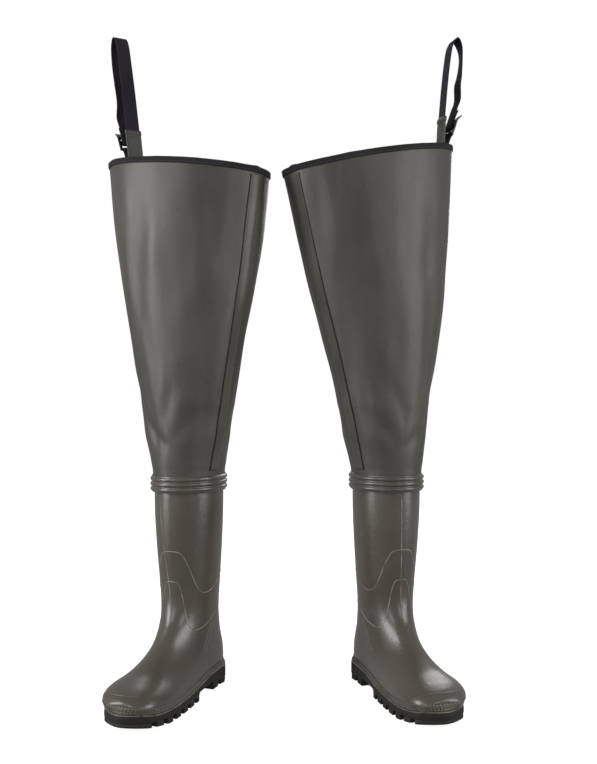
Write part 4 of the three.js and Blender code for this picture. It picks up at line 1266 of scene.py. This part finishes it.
def sheath(name, wader, place):
    """The tube of coated cloth over the foot of the loop, with a turned hem at its top."""
    top = SHEATH_TOP + wader["rise"]
    leaning = strap_frame(wader) @ free_frame(wader)
    wide = WEBBING_WIDTH / 2 + 0.4
    deep = WEBBING_THICKNESS / 2 + 0.4

    def ring(h, out):
        shape = []
        for i in range(40):
            c, s = math.cos(math.tau * i / 40), math.sin(math.tau * i / 40)
            a = math.copysign(abs(c) ** 0.35, c) * (wide + out)
            b = math.copysign(abs(s) ** 0.5, s) * (deep + out * 1.1)
            n, _ = leg_line(h)
            wave = 0.25 * noise.noise(Vector((a / 6, b, h / 9)))
            shape.append(leaning @ Vector((n + b + wave * (out > 0.3), h, a)))
        return shape

    rings = [ring(h, 1.15) for h in range(6, top - 8, 3)]
    rings += [ring(top - 8, 1.15), ring(top - 7.6, 1.7), ring(top - 6, 1.85), ring(top - 3, 1.85)]
    rings += [ring(top - 0.8, 1.75), ring(top, 1.2), ring(top - 0.1, 0.4), ring(top - 1, 0.05)]
    rings += [ring(h, 0.05) for h in (top - 10, top - 25, 20, 6)]
    bm = bmesh.new()
    loft(bm, rings + rings[:1], looped=True)
    tube = finished(f"{name}_loop_sheath", bm, place, PATCH_CLOTH)
    rides(tube, f"{name}_strap", SLOTS["cloth"], f"{name}_strap_sheath")
    bm = bmesh.new()
    for face in (1, -1):
        line = []
        for i in range(61):
            a = between(-12.2, 12.2, i / 60)
            n, _ = leg_line(top - 6.8)
            line.append(leaning @ Vector((n + face * (deep + 2.0), top - 6.8, a)))
        stitches(bm, line, *SHEATH_STITCH)
    rides(finished(f"{name}_sheath_stitching", bm, place, GREY_THREAD), f"{name}_strap", SLOTS["binding"])


def ladder_buckle(name, wader, place):
    """The buckle: a moulded frame with three bars, cut from one plate and rounded, and a flared lip."""
    hinge = BUCKLE_HINGE + wader["rise"]
    half = BUCKLE_WIDTH / 2
    inner = half - BUCKLE_RAIL
    ups = [*HINGE_BAR, *CROSS_BAR, *LIP_BAR]
    sides = [-half, -inner, inner, half]
    bm = bmesh.new()
    plate = bmesh.ops.create_grid(bm, x_segments=len(sides) - 1, y_segments=len(ups) - 1, size=1)["verts"]
    for vert in plate:
        column = round((vert.co.x + 1) / 2 * (len(sides) - 1))
        row = round((vert.co.y + 1) / 2 * (len(ups) - 1))
        vert.co = Vector((-BUCKLE_PLATE / 2, ups[row], sides[column]))
    slots = ((HINGE_BAR[1], CROSS_BAR[0]), (CROSS_BAR[1], LIP_BAR[0]))
    middles = [(f, f.calc_center_median()) for f in bm.faces]
    open_faces = [f for f, at in middles if abs(at.z) < inner and any(a < at.y < b for a, b in slots)]
    bmesh.ops.delete(bm, geom=open_faces, context="FACES")
    front = bmesh.ops.extrude_face_region(bm, geom=bm.faces[:])["geom"]
    for vert in [v for v in front if isinstance(v, bmesh.types.BMVert)]:
        vert.co.x += BUCKLE_PLATE
    bmesh.ops.recalc_face_normals(bm, faces=bm.faces[:])
    top = [f for f in bm.faces if all(abs(v.co.y - LIP_BAR[1]) < 0.01 for v in f.verts)]
    flare = Vector((math.sin(math.radians(28)), math.cos(math.radians(28)), 0))
    for reach, thin in ((3.5, 0.86), (8.0, 0.7)):
        drawn = bmesh.ops.extrude_face_region(bm, geom=top)["geom"]
        top = [f for f in drawn if isinstance(f, bmesh.types.BMFace)]
        verts = {v for f in top for v in f.verts}
        middle = sum(v.co.x for v in verts) / len(verts)
        for vert in verts:
            vert.co.x = middle + (vert.co.x - middle) * thin
            vert.co += flare * reach
    stale = [f for f in bm.faces if all(abs(v.co.y - LIP_BAR[1]) < 0.01 for v in f.verts)]
    bmesh.ops.delete(bm, geom=stale, context="FACES")
    bmesh.ops.remove_doubles(bm, verts=bm.verts[:], dist=0.001)
    bmesh.ops.recalc_face_normals(bm, faces=bm.faces[:])
    sharp = [e for e in bm.edges if e.is_manifold and e.calc_face_angle(0) > math.radians(30)]
    bmesh.ops.bevel(bm, geom=sharp, offset=0.6, affect="EDGES", segments=3, profile=0.5, material=-1)
    tilt = Matrix.Rotation(math.radians(-BUCKLE_TILT), 4, "Z")
    tab = Matrix.Translation((TAB_AT, FOLD_ROOM, 0)) @ tilt @ Matrix.Translation((0, hinge, 0))
    bm.transform(strap_frame(wader) @ free_frame(wader) @ tab)
    buckle = finished(f"{name}_strap_buckle", bm, place, BUCKLE)
    rides(buckle, f"{name}_buckle", SLOTS["buckle"], f"{name}_ladder_buckle")


def carrier_patch(name, wader, place):
    """The welded patch inside the rim, and the box of stitches that holds the strap to it."""
    at = wader["at"]
    near, far = -SLEEVE_WALL - 1.1, -SLEEVE_WALL - 2.1
    rings = []
    for k in range(13):
        z = rim_height(wader, at) + between(PATCH_HIGH, PATCH_LOW, k / 12)
        each = degrees_per_mm(wader, at, z)
        spread = [between(-21, 21, i / 10) for i in range(11)]
        outer = [sleeve_point(name, wader, at + a * each, z, near) for a in spread]
        inner = [sleeve_point(name, wader, at + a * each * 0.985, z, far) for a in reversed(spread)]
        rings.append(outer + inner)
    bm = bmesh.new()
    loft(bm, rings)
    patch = finished(f"{name}_carrier_patch", bm, place, PATCH_CLOTH)
    rides(patch, f"{name}_leg", SLOTS["cloth"], f"{name}_strap_patch")
    base = strap_frame(wader)
    slope = wall_slope(wader)
    wall = SEWN_WALL - LAYER - WEBBING_THICKNESS / 2 - 0.25

    def on_strap(a, h):
        return base @ Vector((wall + slope * h, h, a))

    corners = [(-10, -50), (10, -50), (10, -40), (-10, -40), (-10, -50), (10, -40), (-10, -40), (10, -50)]
    bm = bmesh.new()
    shares = [i / 20 for i in range(21)]
    for (a, h), (to_a, to_h) in zip(corners, corners[1:]):
        line = [on_strap(between(a, to_a, share), between(h, to_h, share)) for share in shares]
        stitches(bm, line, *BOX_STITCH)
    rides(finished(f"{name}_strap_stitching", bm, place, BLACK_THREAD), f"{name}_leg", SLOTS["webbing"])


# ---------------------------------------------------------------- the boot's pieces
def boot_pieces(name, wader, place):
    """The moulded boot, the lining inside it, both open at the top, and the footbed."""
    side = wader["side"]
    lining_rings = boot_skin(SHELL_WALL + GAP + 0.2, 0.8, 2, segments=48, step=0.25, end=14.75)
    for part, rings, material, wall, key, node in (
        ("moulded_boot", boot_skin(), PVC, SHELL_WALL, "boot", "boot_shell"),
        ("sock_lining", lining_rings, LINING, LINING_WALL, "lining", "boot_lining"),
    ):
        bm = bmesh.new()
        loft(bm, [on_side(side, ring) for ring in rings], caps=False)
        edges = [e for e in bm.edges if e.is_boundary and all(v.co.z < 100 for v in e.verts)]
        bmesh.ops.holes_fill(bm, edges=edges, sides=0)
        cup = walled(finished(f"{name}_{part}", bm, place, material), wall)
        rides(cup, f"{name}_boot", SLOTS[key], f"{name}_{node}")

    bm = bmesh.new()
    # the footbed: the sole's plan drawn in, rounded, and bent to the boot's floor
    bed = drawn_in(sole_outline(0)[::2], 9)

    def row(distance, lift):
        points = drawn_in(bed, distance)
        return [Vector((side * x, -u, sole_rim(u) - SOLE_RIM + lift)) for x, u in points]

    loft(bm, [row(6, 5.6), row(0.8, 5.6), row(0, 6.4), row(0, 8.8), row(0.8, 9.6), row(6, 9.6)])
    footbed = finished(f"{name}_felt_footbed", bm, place, FELT)
    rides(footbed, f"{name}_boot", SLOTS["footbed"], f"{name}_insole")


for name, wader in WADERS.items():
    shift = Matrix.Translation((wader["x"] + PAIR_SHIFT[0], wader["y"] + PAIR_SHIFT[1], 0))
    turn = Matrix.Rotation(math.radians(wader["side"] * wader["toe_out"]), 4, "Z")
    place = Matrix.Scale(MM, 4) @ shift @ turn
    form = boot_form(wader["side"])
    boot_pieces(name, wader, place)
    mould_lines(name, wader, form, place)
    rand(name, wader, form, place)
    outsole(name, wader, place)
    ribbed_collar(name, wader, place)
    leg = cloth_leg(name, wader, place)
    welded_seam(name, wader, place)
    tape, row = bound_rim(name, wader, place)
    carrier_patch(name, wader, place)
    belt_strap(name, wader, place)
    sheath(name, wader, place)
    ladder_buckle(name, wader, place)
    area, girth = flat_area(wader)


# ---------------------------------------------------------------- floor, light and air
def floor_paper(tree):
    # White studio paper: matt, with a glow of its own that keeps it white round the pair.
    fibres = add(tree, "TexNoise", Vector=add(tree, "TexCoord").outputs["Object"], Scale=per(300))
    tone = add(tree, "Mix", COLOUR, _0=fibres, _6="#b0b0b0", _7="#b6b6b6")
    return add(
        tree, "BsdfPrincipled", Base_Color=tone, Roughness=0.9, Emission_Color="#ffffff",
        Emission_Strength=0.88,
    )


def backdrop_white(tree):
    # An evenly lit white cloth all round.
    return add(
        tree, "BsdfPrincipled", Base_Color="#000000", Roughness=1.0, Emission_Color="#ffffff",
        Emission_Strength=1.0,
    )


def staged(name, bm, material):
    """A stage piece that only the camera sees, so that it throws no light on the pair."""
    mesh = bpy.data.meshes.new(name)
    bm.to_mesh(mesh)
    bm.free()
    mesh.materials.append(material)
    obj = bpy.data.objects.new(name, mesh)
    bpy.context.scene.collection.objects.link(obj)
    for kind in ("diffuse", "glossy", "transmission", "volume_scatter", "shadow"):
        setattr(obj, "visible_" + kind, False)
    return obj


bm = bmesh.new()
bmesh.ops.create_grid(bm, x_segments=1, y_segments=1, size=30)
floor = staged("floor", bm, made("floor_paper", floor_paper))
bm = bmesh.new()
bmesh.ops.create_uvsphere(bm, u_segments=48, v_segments=24, radius=28)
bmesh.ops.reverse_faces(bm, faces=bm.faces[:])
staged("backdrop", bm, made("backdrop_white", backdrop_white))


def soft_light(name, place, target, size, power):
    """A rectangular soft light, turned to its target."""
    lamp = bpy.data.lights.new(name, "AREA")
    lamp.shape = "RECTANGLE"
    lamp.size, lamp.size_y = size
    lamp.energy = power
    obj = bpy.data.objects.new(name, lamp)
    obj.location = place
    obj.rotation_euler = (Vector(target) - Vector(place)).to_track_quat("-Z", "Y").to_euler()
    bpy.context.scene.collection.objects.link(obj)


soft_light("left_window", (-2.2, -0.7, 1.1), (0, 0, 0.5), (0.9, 2.2), 52)
soft_light("right_window", (2.2, -0.8, 1.0), (0, 0, 0.5), (1.1, 2.0), 36)
soft_light("left_strip", (-1.7, -2.5, 1.3), (-0.1, 0, 0.3), (0.45, 1.8), 17)
soft_light("right_strip", (1.6, -2.6, 1.2), (0.1, 0, 0.3), (0.4, 1.6), 13)
soft_light("back_panel", (0.4, 2.6, 1.8), (0, 0, 0.6), (2.0, 1.6), 34)

world = bpy.data.worlds.new("air")
bpy.context.scene.world = world
world.use_nodes = True
world.node_tree.nodes["Background"].inputs["Color"].default_value = (1, 1, 1, 1)
world.node_tree.nodes["Background"].inputs["Strength"].default_value = 0.32
bpy.context.scene.view_settings.view_transform = "Standard"
